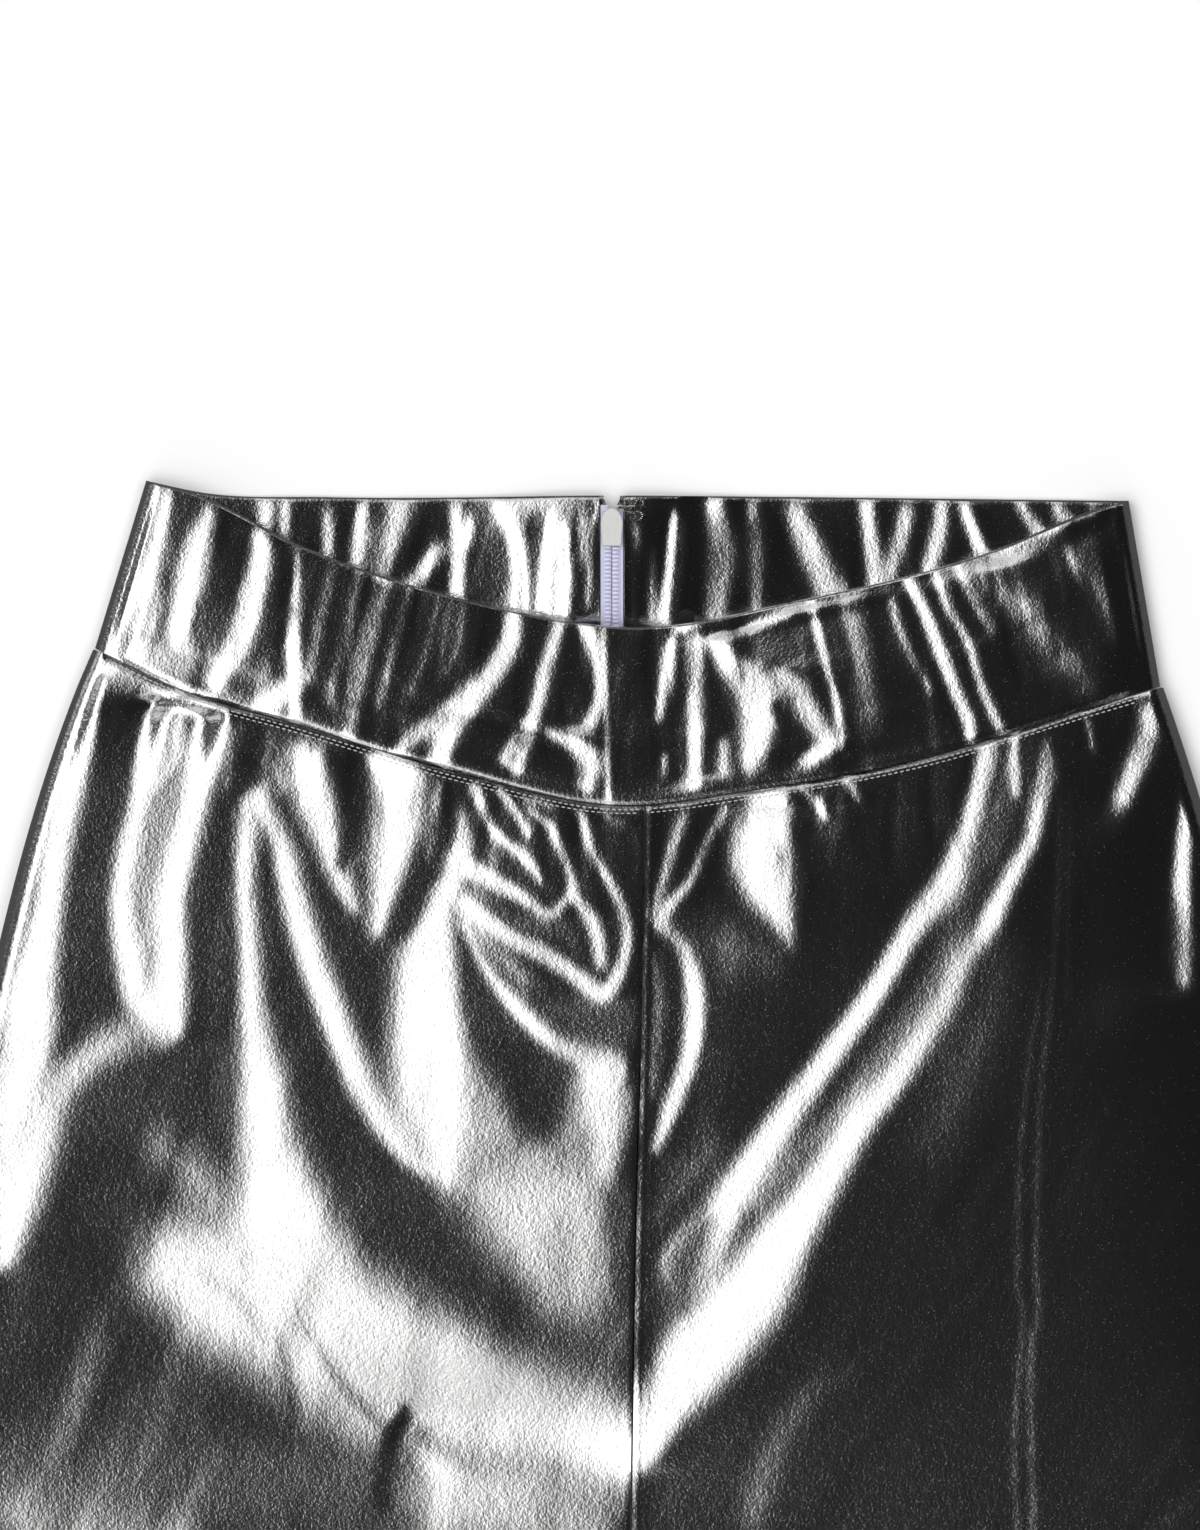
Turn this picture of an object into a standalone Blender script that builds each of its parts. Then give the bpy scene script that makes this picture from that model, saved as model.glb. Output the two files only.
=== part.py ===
"""Metallic leggings, laid on their back with the front upwards.

The frame is X to the right, Y towards the waist and Z up from the surface that they lie on.
Sizes are in millimetres in the tables and become metres when a mesh is made. "Down" is the
distance below the waist line, "across" is the distance to the right of the front centre seam.
Left and right are as seen from above, with the waist at the top.
"""

import math
from collections import namedtuple

import bmesh
import bpy
import numpy as np

MM = 0.001

# Cloth and seams.
PANEL_THICK = 1.4
BAND_THICK = 2.4
SEAM_GAP = 0.4
SIDE_GAP = 0.3

# Waistband: where its two edges end at the left and right folds.
BAND_TOP_ENDS = (-158.4, 156.8)
BAND_FOOT_ENDS = (-174.8, 166.9)
BAND_ROLL = 5.0
BAND_TOP_CROWN = 13.0
BAND_FOOT_CROWN = 20.0
BAND_PUFF = 1.0
BAND_DOME = 42.0

EdgePoint = namedtuple("EdgePoint", "across down")
FRONT_TOP_EDGE = [
    EdgePoint(-158.4, -6.4),
    EdgePoint(-144.0, -2.6),
    EdgePoint(-108.8, 14.4),
    EdgePoint(-51.2, 33.0),
    EdgePoint(0.0, 40.6),
    EdgePoint(51.2, 32.0),
    EdgePoint(115.2, 15.4),
    EdgePoint(144.0, 3.6),
    EdgePoint(156.8, 0.0),
]
FRONT_BAND_SEAM = [
    EdgePoint(-174.8, 47.6),
    EdgePoint(-145.9, 61.1),
    EdgePoint(-109.3, 72.0),
    EdgePoint(-57.9, 87.4),
    EdgePoint(-9.0, 97.6),
    EdgePoint(36.2, 92.8),
    EdgePoint(97.3, 81.0),
    EdgePoint(134.1, 69.6),
    EdgePoint(166.9, 59.8),
]
BACK_TOP_EDGE = [
    EdgePoint(-158.4, -6.4),
    EdgePoint(-140.0, -2.6),
    EdgePoint(-100.0, -1.2),
    EdgePoint(-9.0, -1.6),
    EdgePoint(156.8, 0.0),
]
BACK_BAND_SEAM = [
    EdgePoint(-174.8, 47.6),
    EdgePoint(-110.0, 54.0),
    EdgePoint(-9.0, 56.0),
    EdgePoint(110.0, 57.5),
    EdgePoint(166.9, 59.8),
]

# The body and legs: the outline, the radius that the folded sides roll round, and the height
# of the upper layer's crown above the surface.
Station = namedtuple("Station", "down left_outer left_inner right_inner right_outer roll crown")
STATIONS = [
    Station(40, -172.0, 1.6, 1.6, 160.5, 5.0, 26.0),
    Station(62, -181.4, 1.6, 1.6, 168.6, 5.5, 26.0),
    Station(84, -189.3, 1.6, 1.6, 176.0, 6.0, 26.0),
    Station(107, -196.4, 1.6, 1.6, 183.0, 6.5, 26.0),
    Station(140, -205.0, 0.8, 0.8, 191.5, 7.0, 26.0),
    Station(180, -214.0, 0.0, 0.0, 200.0, 7.5, 26.0),
    Station(230, -221.0, -1.4, -1.4, 206.5, 7.5, 25.0),
    Station(290, -224.0, -2.4, -2.4, 209.0, 7.0, 22.0),
    Station(345, -221.0, -3.0, -3.0, 206.0, 6.5, 19.0),
    Station(370, -218.0, -8.0, 2.0, 203.5, 6.5, 18.0),
    Station(420, -212.0, -14.0, 8.5, 198.0, 6.0, 16.5),
    Station(520, -199.0, -25.0, 20.0, 187.0, 5.8, 15.0),
    Station(640, -186.0, -36.0, 32.0, 175.0, 5.5, 14.0),
    Station(720, -181.0, -38.0, 35.0, 171.0, 5.5, 13.5),
    Station(800, -174.0, -43.0, 41.0, 166.0, 5.2, 13.0),
    Station(900, -163.0, -51.0, 49.0, 157.0, 5.0, 12.5),
    Station(975, -157.0, -55.0, 53.0, 152.0, 4.8, 12.0),
]
CROTCH_DOWN = 345.0
HEM_DOWN = 975.0
TOP_LEVEL = 52.0
HIP_DOME = 45.0
LEG_DOME = 26.0
TUCKED_CROWN = 19.0
TUCK_REACH = 30.0

# The largest folds of the upper layer: ridges stand up, troughs have a negative rise.
Fold = namedtuple("Fold", "across down to_across to_down width rise")
FRONT_FOLDS = [
    Fold(-170, 66, -188, 160, 8, 2.5),
    Fold(-146, 74, -151, 172, 9, 3.0),
    Fold(-128, 88, -134, 178, 10, -3.0),
    Fold(-120, 112, -118, 195, 11, 3.0),
    Fold(-112, 108, -76, 206, 10, -3.0),
    Fold(-66, 130, -44, 210, 15, 3.5),
    Fold(-54, 122, -14, 152, 9, 3.0),
    Fold(8, 118, 8, 205, 7, 2.5),
    Fold(108, 90, 8, 264, 15, 5.0),
    Fold(160, 78, 150, 118, 10, 3.0),
    Fold(-184, 226, -128, 190, 18, -4.0),
    Fold(-156, 238, -70, 290, 24, 4.0),
    Fold(-60, 250, -12, 300, 20, -3.0),
    Fold(150, 190, 60, 300, 26, -3.0),
    Fold(-150, 470, -70, 500, 20, 2.2),
    Fold(-168, 590, -70, 622, 14, 2.4),
    Fold(-72, 640, -150, 668, 14, 2.0),
    Fold(-150, 880, -80, 902, 10, 1.6),
    Fold(140, 480, 60, 510, 20, 2.2),
    Fold(60, 596, 150, 618, 14, 2.4),
    Fold(152, 640, 70, 672, 14, 2.0),
    Fold(70, 872, 140, 896, 10, 1.6),
]
FRONT_GATHERS = 27
BACK_GATHERS = 31
BACK_BAND_ROWS = np.array([0.0, 0.125, 0.185, 0.35, 0.62, 0.725, 0.85, 0.955, 1.0])
GATHER_RISE = 1.0

# The zip in the centre back, with the cloth arched over its slider and pull tab.
ZIP_ACROSS = -9.0
ZIP_FOOT = 182.0
ZIP_SLOT = 4.0
ARCH_RISE = 4.6
ARCH_FLAT = 9.0
ARCH_REACH = 46.0
ARCH_FULL_DOWN = 33.0
ARCH_END_DOWN = 54.0
LIP_THICK = 0.8
LIP_SPLIT = 1.35
SPLIT_DOWN = 6.0
CLOSED_DOWN = 9.0
PIECE_GAP = 0.3
TAPE_THICK = 0.4
TAPE_HALF = 3.6
TAPE_WIDE_HALF = 11.0
TAPE_TOP_DOWN = 1.4
TAPE_WIDENS_DOWN = (56.8, 58.0)
TAPE_ROWS_DOWN = (100.0, 140.0)
COIL_ABOVE_STOP = 2.0
COIL_THICK = 1.2
COIL_HALF = 2.5
COIL_TOP_DOWN = 6.4
SLIDER_TOP_DOWN = 2.4
SLIDER_LENGTH = 12.2
SLIDER_HALF = 3.6
SLIDER_FOOT_HALF = 3.0
SLIDER_THICK = 1.2
SLIDER_SHOULDER = 5.2
SLIDER_BEVEL = 0.3
NECK_HALF = 0.9
NECK_DOWN = (3.0, 5.0)
KEEPER_HALF = 2.3
KEEPER_DOWN = (2.6, 11.0)
KEEPER_THICK = 0.9
PIVOT_DOWN = 4.6
PIVOT_HEIGHT = 1.75
PIN_RADIUS = 0.5
BARREL_BORE = 0.8
BARREL_RADIUS = 1.3
BARREL_HALF = 1.2
TAB_LENGTH = 24.0
TAB_THICK = 0.9
TAB_HALF = 2.6
TAB_WAIST_HALF = 1.0
TAB_WAIST_DOWN = 9.0
TAB_DROP = 6.0
LUG_THICK = 0.8
LUG_HALF = 1.0
LUG_BELOW_PIVOT = 0.9

# Hook, eye and the narrow black tape that shows inside the back band.
WIRE_RADIUS = 0.38
HOOK_TOP_DOWN = 0.6
HOOK_RISE = 3.2 * WIRE_RADIUS
UPPER_LOOP = (0.0, 0.2, 1.2)
LOWER_LOOP = (-0.4, 4.2, 1.3)
# The hook's bill between its two sewn loops: across, below its top, share of its rise.
HOOK_BILL = [
    (-1.6, 1.2, 0.0), (-3.4, 1.4, 0.0), (-5.4, 1.4, 0.0), (-6.4, 1.5, 0.41), (-6.9, 1.9, 0.67),
    (-6.4, 2.3, 1.0), (-5.2, 2.4, 1.0), (-3.6, 2.6, 0.75), (-2.6, 3.0, 0.16), (-1.7, 3.4, 0.0),
]
EYE_ACROSS = -15.2
# The eye's bar between its two sewn feet: across from its middle, below its top, rise.
EYE_BAR = [
    (-1.6, 0.4, 0.0), (-0.6, 0.4, 0.0), (0.0, 0.8, 0.3), (0.0, 3.2, 0.3), (-0.6, 3.6, 0.0),
    (-1.6, 3.6, 0.0),
]
TAPE_LOOP_ACROSS = 15.0
TAPE_LOOP_DOWN = (35.0, 55.4)
TAPE_LOOP_HALF = 2.4
TAPE_LOOP_THICK = 0.8
TAPE_LOOP_BOW = 0.6

Finish = namedtuple("Finish", "color roughness metallic")
SILVER = Finish((0.62, 0.62, 0.61), 0.22, 1.0)
TAPE_CLOTH = Finish((0.66, 0.66, 0.82), 0.7, 0.0)
NYLON = Finish((0.70, 0.70, 0.86), 0.4, 0.0)
ENAMEL = Finish((0.72, 0.72, 0.70), 0.35, 0.0)
GUNMETAL = Finish((0.16, 0.15, 0.14), 0.3, 1.0)
BLACK_TAPE = Finish((0.01, 0.01, 0.01), 0.8, 0.0)


def clear_scene():
    """Removes what the file opened with."""
    for thing in list(bpy.data.objects):
        bpy.data.objects.remove(thing, do_unlink=True)


def material(name, finish):
    """A Principled material of this finish, made once."""
    made = bpy.data.materials.get(name)
    if made is None:
        made = bpy.data.materials.new(name)
        made.use_nodes = True
        shader = made.node_tree.nodes["Principled BSDF"]
        shader.inputs["Base Color"].default_value = (*finish.color, 1.0)
        shader.inputs["Roughness"].default_value = finish.roughness
        shader.inputs["Metallic"].default_value = finish.metallic
    return made


def through(table, along, column):
    """A smooth line through one column of a table: a function of the column named along."""
    at = np.array([getattr(row, along) for row in table], float)
    value = np.array([getattr(row, column) for row in table], float)
    slope = np.gradient(value, at)

    def line(where):
        where = np.clip(np.asarray(where, float), at[0], at[-1])
        k = np.clip(np.searchsorted(at, where) - 1, 0, len(at) - 2)
        span = at[k + 1] - at[k]
        t = (where - at[k]) / span
        start = (1 + 2 * t) * (1 - t) ** 2 * value[k] + t * (1 - t) ** 2 * span * slope[k]
        end = t**2 * (3 - 2 * t) * value[k + 1] - t**2 * (1 - t) * span * slope[k + 1]
        return start + end

    return line


front_top = through(FRONT_TOP_EDGE, "across", "down")
front_seam = through(FRONT_BAND_SEAM, "across", "down")
back_top = through(BACK_TOP_EDGE, "across", "down")
back_seam = through(BACK_BAND_SEAM, "across", "down")
left_outer = through(STATIONS, "down", "left_outer")
left_inner_line = through(STATIONS, "down", "left_inner")
right_inner_line = through(STATIONS, "down", "right_inner")
right_outer = through(STATIONS, "down", "right_outer")
roll_radius = through(STATIONS, "down", "roll")
crown_height = through(STATIONS, "down", "crown")



def left_inner(down):
    """The left leg's inner edge, which is the centre seam above the crotch."""
    left, right = left_inner_line(down), right_inner_line(down)
    return np.minimum(left, (left + right) / 2)


def right_inner(down):
    """The right leg's inner edge, which is the centre seam above the crotch."""
    left, right = left_inner_line(down), right_inner_line(down)
    return np.maximum(right, (left + right) / 2)


ALL_DOWN = np.linspace(STATIONS[0].down, HEM_DOWN, 400)
CENTRE_ACROSS = (left_outer(ALL_DOWN).min() + right_outer(ALL_DOWN).max()) / 2
CENTRE_DOWN = (FRONT_TOP_EDGE[0].down + HEM_DOWN) / 2


def smooth_step(value, low, high):
    """0 below low, 1 above high, and a smooth rise between them."""
    t = np.clip((np.asarray(value, float) - low) / (high - low), 0, 1)
    return t * t * (3 - 2 * t)


def zip_arch(across, down):
    """How far the back layer is lifted over the slider and its pull tab."""
    aside = 1 - smooth_step(np.abs(np.asarray(across) - ZIP_ACROSS), ARCH_FLAT, ARCH_REACH)
    return ARCH_RISE * aside * (1 - smooth_step(down, ARCH_FULL_DOWN, ARCH_END_DOWN))


def gathers(share, count, rise):
    """Unevenly spaced gathers along a waistband, share running 0 to 1 from left to right."""
    share = np.asarray(share, float)
    uneven = 0.012 * np.sin(2 * math.pi * 2.3 * share + 1) + 0.008 * np.sin(2 * math.pi * 5.1 * share)
    swell = 0.75 + 0.25 * np.sin(2 * math.pi * 1.7 * share)
    return rise * swell * np.cos(2 * math.pi * count * (share + uneven))


def folds_rise(across, down, folds):
    """The sum of straight ridges and troughs with round ends."""
    total = np.zeros(np.broadcast(across, down).shape)
    for fold in folds:
        run = np.array([fold.to_across - fold.across, fold.to_down - fold.down], float)
        t = ((across - fold.across) * run[0] + (down - fold.down) * run[1]) / (run @ run)
        t = np.clip(t, 0, 1)
        off = np.hypot(across - fold.across - t * run[0], down - fold.down - t * run[1])
        total += fold.rise * np.exp(-((off / fold.width) ** 2))
    return total


def dome(inset, reach):
    """0 at a rolled side, rising to 1 well inside it."""
    return 1 - np.exp(-np.maximum(inset, 0) / reach)


def band_upper(across, down, row):
    """Height of the front waistband's outer face, without its gathers; row is 0 at its top."""
    left = np.interp(down, [-6.4, 47.6], [BAND_TOP_ENDS[0], BAND_FOOT_ENDS[0]])
    right = np.interp(down, [0.0, 59.8], [BAND_TOP_ENDS[1], BAND_FOOT_ENDS[1]])
    rise = dome(across - left - BAND_ROLL, BAND_DOME) * dome(right - BAND_ROLL - across, BAND_DOME)
    crown = BAND_TOP_CROWN + row * (BAND_FOOT_CROWN - BAND_TOP_CROWN)
    return 2 * BAND_ROLL + (crown - 2 * BAND_ROLL) * rise


def body_upper(across, down, leg):
    """Height of the upper layer's outer face on one leg's half: leg is -1 left or 1 right."""
    outer, inner = (left_outer, left_inner) if leg < 0 else (right_outer, right_inner)
    roll = roll_radius(down)
    from_outer = np.abs(across - outer(down)) - roll
    from_inner = np.abs(across - inner(down))
    hip_far_side = np.abs(across - (right_outer if leg < 0 else left_outer)(down)) - roll
    parted = smooth_step(down, CROTCH_DOWN - 60, CROTCH_DOWN + 20)
    hip_shape = dome(from_outer, HIP_DOME) * dome(hip_far_side, HIP_DOME)
    leg_shape = dome(from_outer, LEG_DOME) * dome(from_inner, LEG_DOME)
    below_seam = np.maximum(down - front_seam(across), 0)
    tucked = 1 - np.exp(-below_seam / TUCK_REACH)
    crown = TUCKED_CROWN + (crown_height(down) - TUCKED_CROWN) * tucked
    height = 2 * roll + (crown - 2 * roll) * ((1 - parted) * hip_shape + parted * leg_shape)
    calm = smooth_step(from_outer, 0, 18) * smooth_step(below_seam, 0, 14)
    calm = calm * (1 - parted * (1 - smooth_step(from_inner, 2, 22)))
    return height + calm * folds_rise(across, down, FRONT_FOLDS)


def to_row(across, down, height):
    """Points in the row frame, in metres, from across, down and height in millimetres."""
    across, down, height = np.broadcast_arrays(across, down, height)
    return np.stack([across - CENTRE_ACROSS, CENTRE_DOWN - down, height], axis=-1) * MM


def grid_normals(grid):
    """Unit normals of a grid of points, along (column step) x (row step)."""
    normal = np.cross(np.gradient(grid, axis=1), np.gradient(grid, axis=0))
    return normal / np.linalg.norm(normal, axis=2, keepdims=True)


def add_mesh(name, verts, faces, finish_name, finish, smooth_angle=40):
    """One named object from points and faces, with normals outwards."""
    mesh = bpy.data.meshes.new(name)
    mesh.from_pydata([tuple(v) for v in verts], [], [tuple(f) for f in faces])
    shape = bmesh.new()
    shape.from_mesh(mesh)
    bmesh.ops.recalc_face_normals(shape, faces=shape.faces)
    if shape.calc_volume(signed=True) < 0:
        bmesh.ops.reverse_faces(shape, faces=shape.faces)
    shape.to_mesh(mesh)
    shape.free()
    mesh.shade_smooth()
    mesh.set_sharp_from_angle(angle=math.radians(smooth_angle))
    mesh.materials.append(material(finish_name, finish))
    thing = bpy.data.objects.new(name, mesh)
    bpy.context.scene.collection.objects.link(thing)
    return thing


def wall(name, outer, inner, finish_name, finish):
    """A closed wall between two grids of points with the same rows and columns."""
    rows, columns = outer.shape[:2]
    verts = np.concatenate([outer.reshape(-1, 3), inner.reshape(-1, 3)])
    half = rows * columns
    faces = []
    for i in range(rows - 1):
        for j in range(columns - 1):
            a = i * columns + j
            b, c, d = a + 1, a + columns + 1, a + columns
            faces.append((a, b, c, d))
            faces.append((half + d, half + c, half + b, half + a))
    top = [(0, j) for j in range(columns)]
    right = [(i, columns - 1) for i in range(rows)]
    bottom = [(rows - 1, columns - 1 - j) for j in range(columns)]
    left = [(rows - 1 - i, 0) for i in range(rows)]
    for side in (top, right, bottom, left):
        for (i0, j0), (i1, j1) in zip(side[:-1], side[1:]):
            a, b = i0 * columns + j0, i1 * columns + j1
            faces.append((a, half + a, half + b, b))
    return add_mesh(name, verts, faces, finish_name, finish)


def onto_seam(row, seam, gap):
    """Moves a row of points along Y onto a seam line of the pattern, gap below it."""
    across = row[:, 0] / MM + CENTRE_ACROSS
    row[:, 1] = (CENTRE_DOWN - seam(across) - gap) * MM


def thick_sheet(outer, thick, upwards, level_first, level_last):
    """A wall whose outer face is the grid given; its inner face lies thick millimetres inside.

    The normal points out of the garment: up on the upper layer, down on the lower one. Where
    level is 1 the edge column faces sideways, as at a fold, and where it is 0 it faces up or
    down, as at a centre seam, so that the two walls that meet there stay clear of each other.
    """
    normal = grid_normals(outer)
    middle = normal[outer.shape[0] // 2, outer.shape[1] // 2]
    if (middle[2] > 0) != upwards:
        normal = -normal
    for column, level in ((0, level_first), (-1, level_last)):
        normal[:, column, 0] *= level
        normal[:, column, 2] *= 1 - np.asarray(level)
    normal /= np.linalg.norm(normal, axis=2, keepdims=True)
    inner = outer - normal * thick * MM
    return outer, inner


def roll_angles(steps, radius):
    """Angles round a folded side, from just off the seam to the flat of the layer."""
    start = math.asin(min(1.0, SIDE_GAP / 2 / radius))
    return start + (math.pi / 2 - start) * np.linspace(0, 1, steps + 1)[:-1]


def front_band():
    """The front waistband, from its left fold over the top to its right fold."""
    rows = np.linspace(0, 1, 4)
    angles = roll_angles(3, BAND_ROLL)
    shares = np.linspace(0, 1, FRONT_GATHERS * 4 + 1)
    points = np.zeros((len(rows), 2 * len(angles) + len(shares), 3))
    for i, row in enumerate(rows):
        ends = [
            (1 - row) * BAND_TOP_ENDS[k] + row * BAND_FOOT_ENDS[k] for k in (0, 1)
        ]
        flat = ends[0] + BAND_ROLL + shares * (ends[1] - ends[0] - 2 * BAND_ROLL)
        across = np.concatenate([
            ends[0] + BAND_ROLL * (1 - np.cos(angles)),
            flat,
            (ends[1] - BAND_ROLL * (1 - np.cos(angles)))[::-1],
        ])
        share = (across - ends[0]) / (ends[1] - ends[0])
        top_across = BAND_TOP_ENDS[0] + share * (BAND_TOP_ENDS[1] - BAND_TOP_ENDS[0])
        foot_across = BAND_FOOT_ENDS[0] + share * (BAND_FOOT_ENDS[1] - BAND_FOOT_ENDS[0])
        foot = front_seam(foot_across) - SEAM_GAP / 2
        down = (1 - row) * front_top(top_across) + row * foot
        height = band_upper(across, down, row) + BAND_PUFF * math.sin(math.pi * row)
        calm = smooth_step(share, 0.02, 0.08) * (1 - smooth_step(share, 0.92, 0.98))
        height = height + calm * gathers(share, FRONT_GATHERS, GATHER_RISE) * (1 - 0.3 * row)
        sides = BAND_ROLL * (1 + np.sin(angles))
        height[: len(angles)] = sides
        height[-len(angles):] = sides[::-1]
        points[i] = to_row(across, down, height)
    outer, inner = thick_sheet(points, BAND_THICK, True, 1.0, 1.0)
    onto_seam(inner[-1], front_seam, -SEAM_GAP / 2)
    wall("front_waistband", outer, inner, "silver_cloth", SILVER)


def back_inner_face(across, down):
    """Height of the back waistband's inner face, which shows above the dipped front."""
    share = (np.asarray(across) - BAND_TOP_ENDS[0]) / (BAND_TOP_ENDS[1] - BAND_TOP_ENDS[0])
    beside_zip = smooth_step(np.abs(np.asarray(across) - ZIP_ACROSS), 9, 24)
    calm = beside_zip * smooth_step(share, 0.04, 0.12) * (1 - smooth_step(share, 0.88, 0.96))
    rise = gathers(share, BACK_GATHERS, 0.8) * calm
    return zip_arch(across, down) + BAND_THICK + rise


def zip_split(down):
    """Half the distance between the two cloth edges that meet over the zip."""
    return LIP_SPLIT + (SIDE_GAP / 2 - LIP_SPLIT) * smooth_step(down, SPLIT_DOWN, CLOSED_DOWN)


def back_band(name, side):
    """One half of the back waistband: side is -1 left or 1 right. Its outer face lies down."""
    k = 0 if side < 0 else 1
    rows = BACK_BAND_ROWS
    angles = roll_angles(3, BAND_ROLL)
    shares = np.linspace(0, 1, 31)
    columns = len(angles) + len(shares) + 2
    outer = np.zeros((len(rows), columns, 3))
    inner = np.zeros_like(outer)
    for i, row in enumerate(rows):
        end = (1 - row) * BAND_TOP_ENDS[k] + row * BAND_FOOT_ENDS[k]
        slot_edge = ZIP_ACROSS + side * (ZIP_SLOT + 0.05)
        straight = end - side * BAND_ROLL
        lip = ZIP_ACROSS + side * ZIP_SLOT
        split = zip_split(back_top(ZIP_ACROSS) * (1 - row) + row * back_seam(ZIP_ACROSS))
        across = np.concatenate([
            end - side * BAND_ROLL * (1 - np.cos(angles)),
            straight + shares * (slot_edge - straight),
            [lip, ZIP_ACROSS + side * split],
        ])
        lean = (end - BAND_TOP_ENDS[k]) * (across - ZIP_ACROSS) / (end - ZIP_ACROSS)
        top = back_top(across - lean)
        foot = back_seam(across - lean + (BAND_FOOT_ENDS[k] - BAND_TOP_ENDS[k])
                         * (across - ZIP_ACROSS) / (end - ZIP_ACROSS)) - SEAM_GAP / 2
        down = (1 - row) * top + row * foot
        under = zip_arch(across, down)
        over = back_inner_face(across, down)
        over[-2:] = under[-2:] + LIP_THICK
        n = len(angles)
        under[:n] = BAND_ROLL * (1 - np.sin(angles))
        outer[i] = to_row(across, down, under)
        inner_across = across.copy()
        inner_across[:n] = straight + side * (BAND_ROLL - BAND_THICK) * np.cos(angles)
        over[:n] = BAND_ROLL - (BAND_ROLL - BAND_THICK) * np.sin(angles)
        over[:n] += zip_arch(across[:n], down[:n])
        inner[i] = to_row(inner_across, down, over)
    onto_seam(inner[-1], back_seam, -SEAM_GAP / 2)
    wall(name, outer, inner, "silver_cloth", SILVER)


def panel_levels():
    """The levels of a panel's rows, closer together where the centre seams become inseams."""
    spans = [
        (TOP_LEVEL, 5), (TOP_LEVEL + 50, 9), (CROTCH_DOWN - 15, 5), (CROTCH_DOWN + 21, 4),
        (CROTCH_DOWN + 80, 9),
    ]
    ends = [level for level, _ in spans[1:]] + [HEM_DOWN]
    levels = [np.linspace(start, end, count, endpoint=False) for (start, count), end in zip(spans, ends)]
    return np.concatenate(levels + [[HEM_DOWN]])


def parting(level):
    """0 where the two legs share a centre seam and 1 where each has its own inseam."""
    return smooth_step(level, CROTCH_DOWN - 12, CROTCH_DOWN + 18)


def panel_grid(leg, spans, upper):
    """Outer-face points of one leg panel, from the side fold to the centre seam or inseam.

    Args: leg -1 or 1, the column count of the flat span, and which layer.
    """
    outer, inner = (left_outer, left_inner) if leg < 0 else (right_outer, right_inner)
    seam = front_seam if upper else back_seam
    levels = panel_levels()
    grid = np.zeros((len(levels), spans + 7, 3))
    for i, level in enumerate(levels):
        down = np.full(spans + 7, level)
        for _ in range(4):
            roll = roll_radius(down)
            angles = np.array([roll_angles(3, r) for r in roll[:3]])[0]
            inner_angles = roll_angles(3, roll[-1])[::-1]
            fold = outer(down)
            centre = inner(down)
            parted = parting(level)
            if not upper:
                lean = (1 - smooth_step(level, 60, CROTCH_DOWN)) * (ZIP_ACROSS - centre)
                centre = centre + lean * (1 - parted)
            edge = centre + leg * SIDE_GAP / 2
            tip = roll[-1] * math.pi / 2
            first = fold[:3] - leg * roll[:3] * (1 - np.cos(angles))
            span_from = fold[3:-3] - leg * roll[3:-3]
            span_to = edge[3:-3] + leg * ((1 - parted) * tip + parted * roll[3:-3])
            span = span_from + np.linspace(0, 1, spans + 1) * (span_to - span_from)
            flat_last = edge[-3:] + leg * tip * np.linspace(2 / 3, 0, 3)
            round_last = edge[-3:] + leg * roll[-1] * (1 - np.cos(inner_angles))
            last = (1 - parted) * flat_last + parted * round_last
            across = np.concatenate([first, span, last])
            fade = np.clip((level - TOP_LEVEL) / (CROTCH_DOWN - TOP_LEVEL), 0, 1)
            top = seam(across) + SEAM_GAP / 2
            down = level + (top - TOP_LEVEL) * (1 - smooth_step(fade, 0, 1)) if i else top
        if upper:
            height = body_upper(across, down, leg)
            height[:3] = roll[:3] * (1 + np.sin(angles))
            round_height = roll[-1] * (1 + np.sin(inner_angles))
        else:
            height = np.zeros(len(across))
            height[:3] = roll[:3] * (1 - np.sin(angles))
            round_height = roll[-1] * (1 - np.sin(inner_angles))
        height[-3:] = (1 - parted) * height[-3:] + parted * round_height
        grid[i] = to_row(across, down, height)
    return grid


def panels():
    """The two front and the two back panels, each a whole leg long."""
    for name, leg in (("left", -1), ("right", 1)):
        for layer, spans, seam in (("front", 12, front_seam), ("back", 6, back_seam)):
            upper = layer == "front"
            points = panel_grid(leg, spans, upper)
            outer, inner = thick_sheet(points, PANEL_THICK, upper, 1.0, parting(panel_levels()))
            onto_seam(inner[0], seam, SEAM_GAP / 2)
            wall(f"{layer}_panel_{name}", outer, inner, "silver_cloth", SILVER)


def zip_base(down):
    """Height of the cloth that the zip tape lies on."""
    step = smooth_step(down, 53.5, 55.8)
    return zip_arch(ZIP_ACROSS, down) + LIP_THICK + (PANEL_THICK - LIP_THICK) * step


def strip(name, downs, near, far, low, thick, finish_name, finish):
    """A flat strip along the garment between two edges, lying at height low."""
    edges = np.stack([near, far], axis=1)
    down = np.repeat(downs[:, None], 2, axis=1)
    under = to_row(edges, down, low[:, None])
    over = to_row(edges, down, (low + thick)[:, None])
    wall(name, under, over, finish_name, finish)


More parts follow.
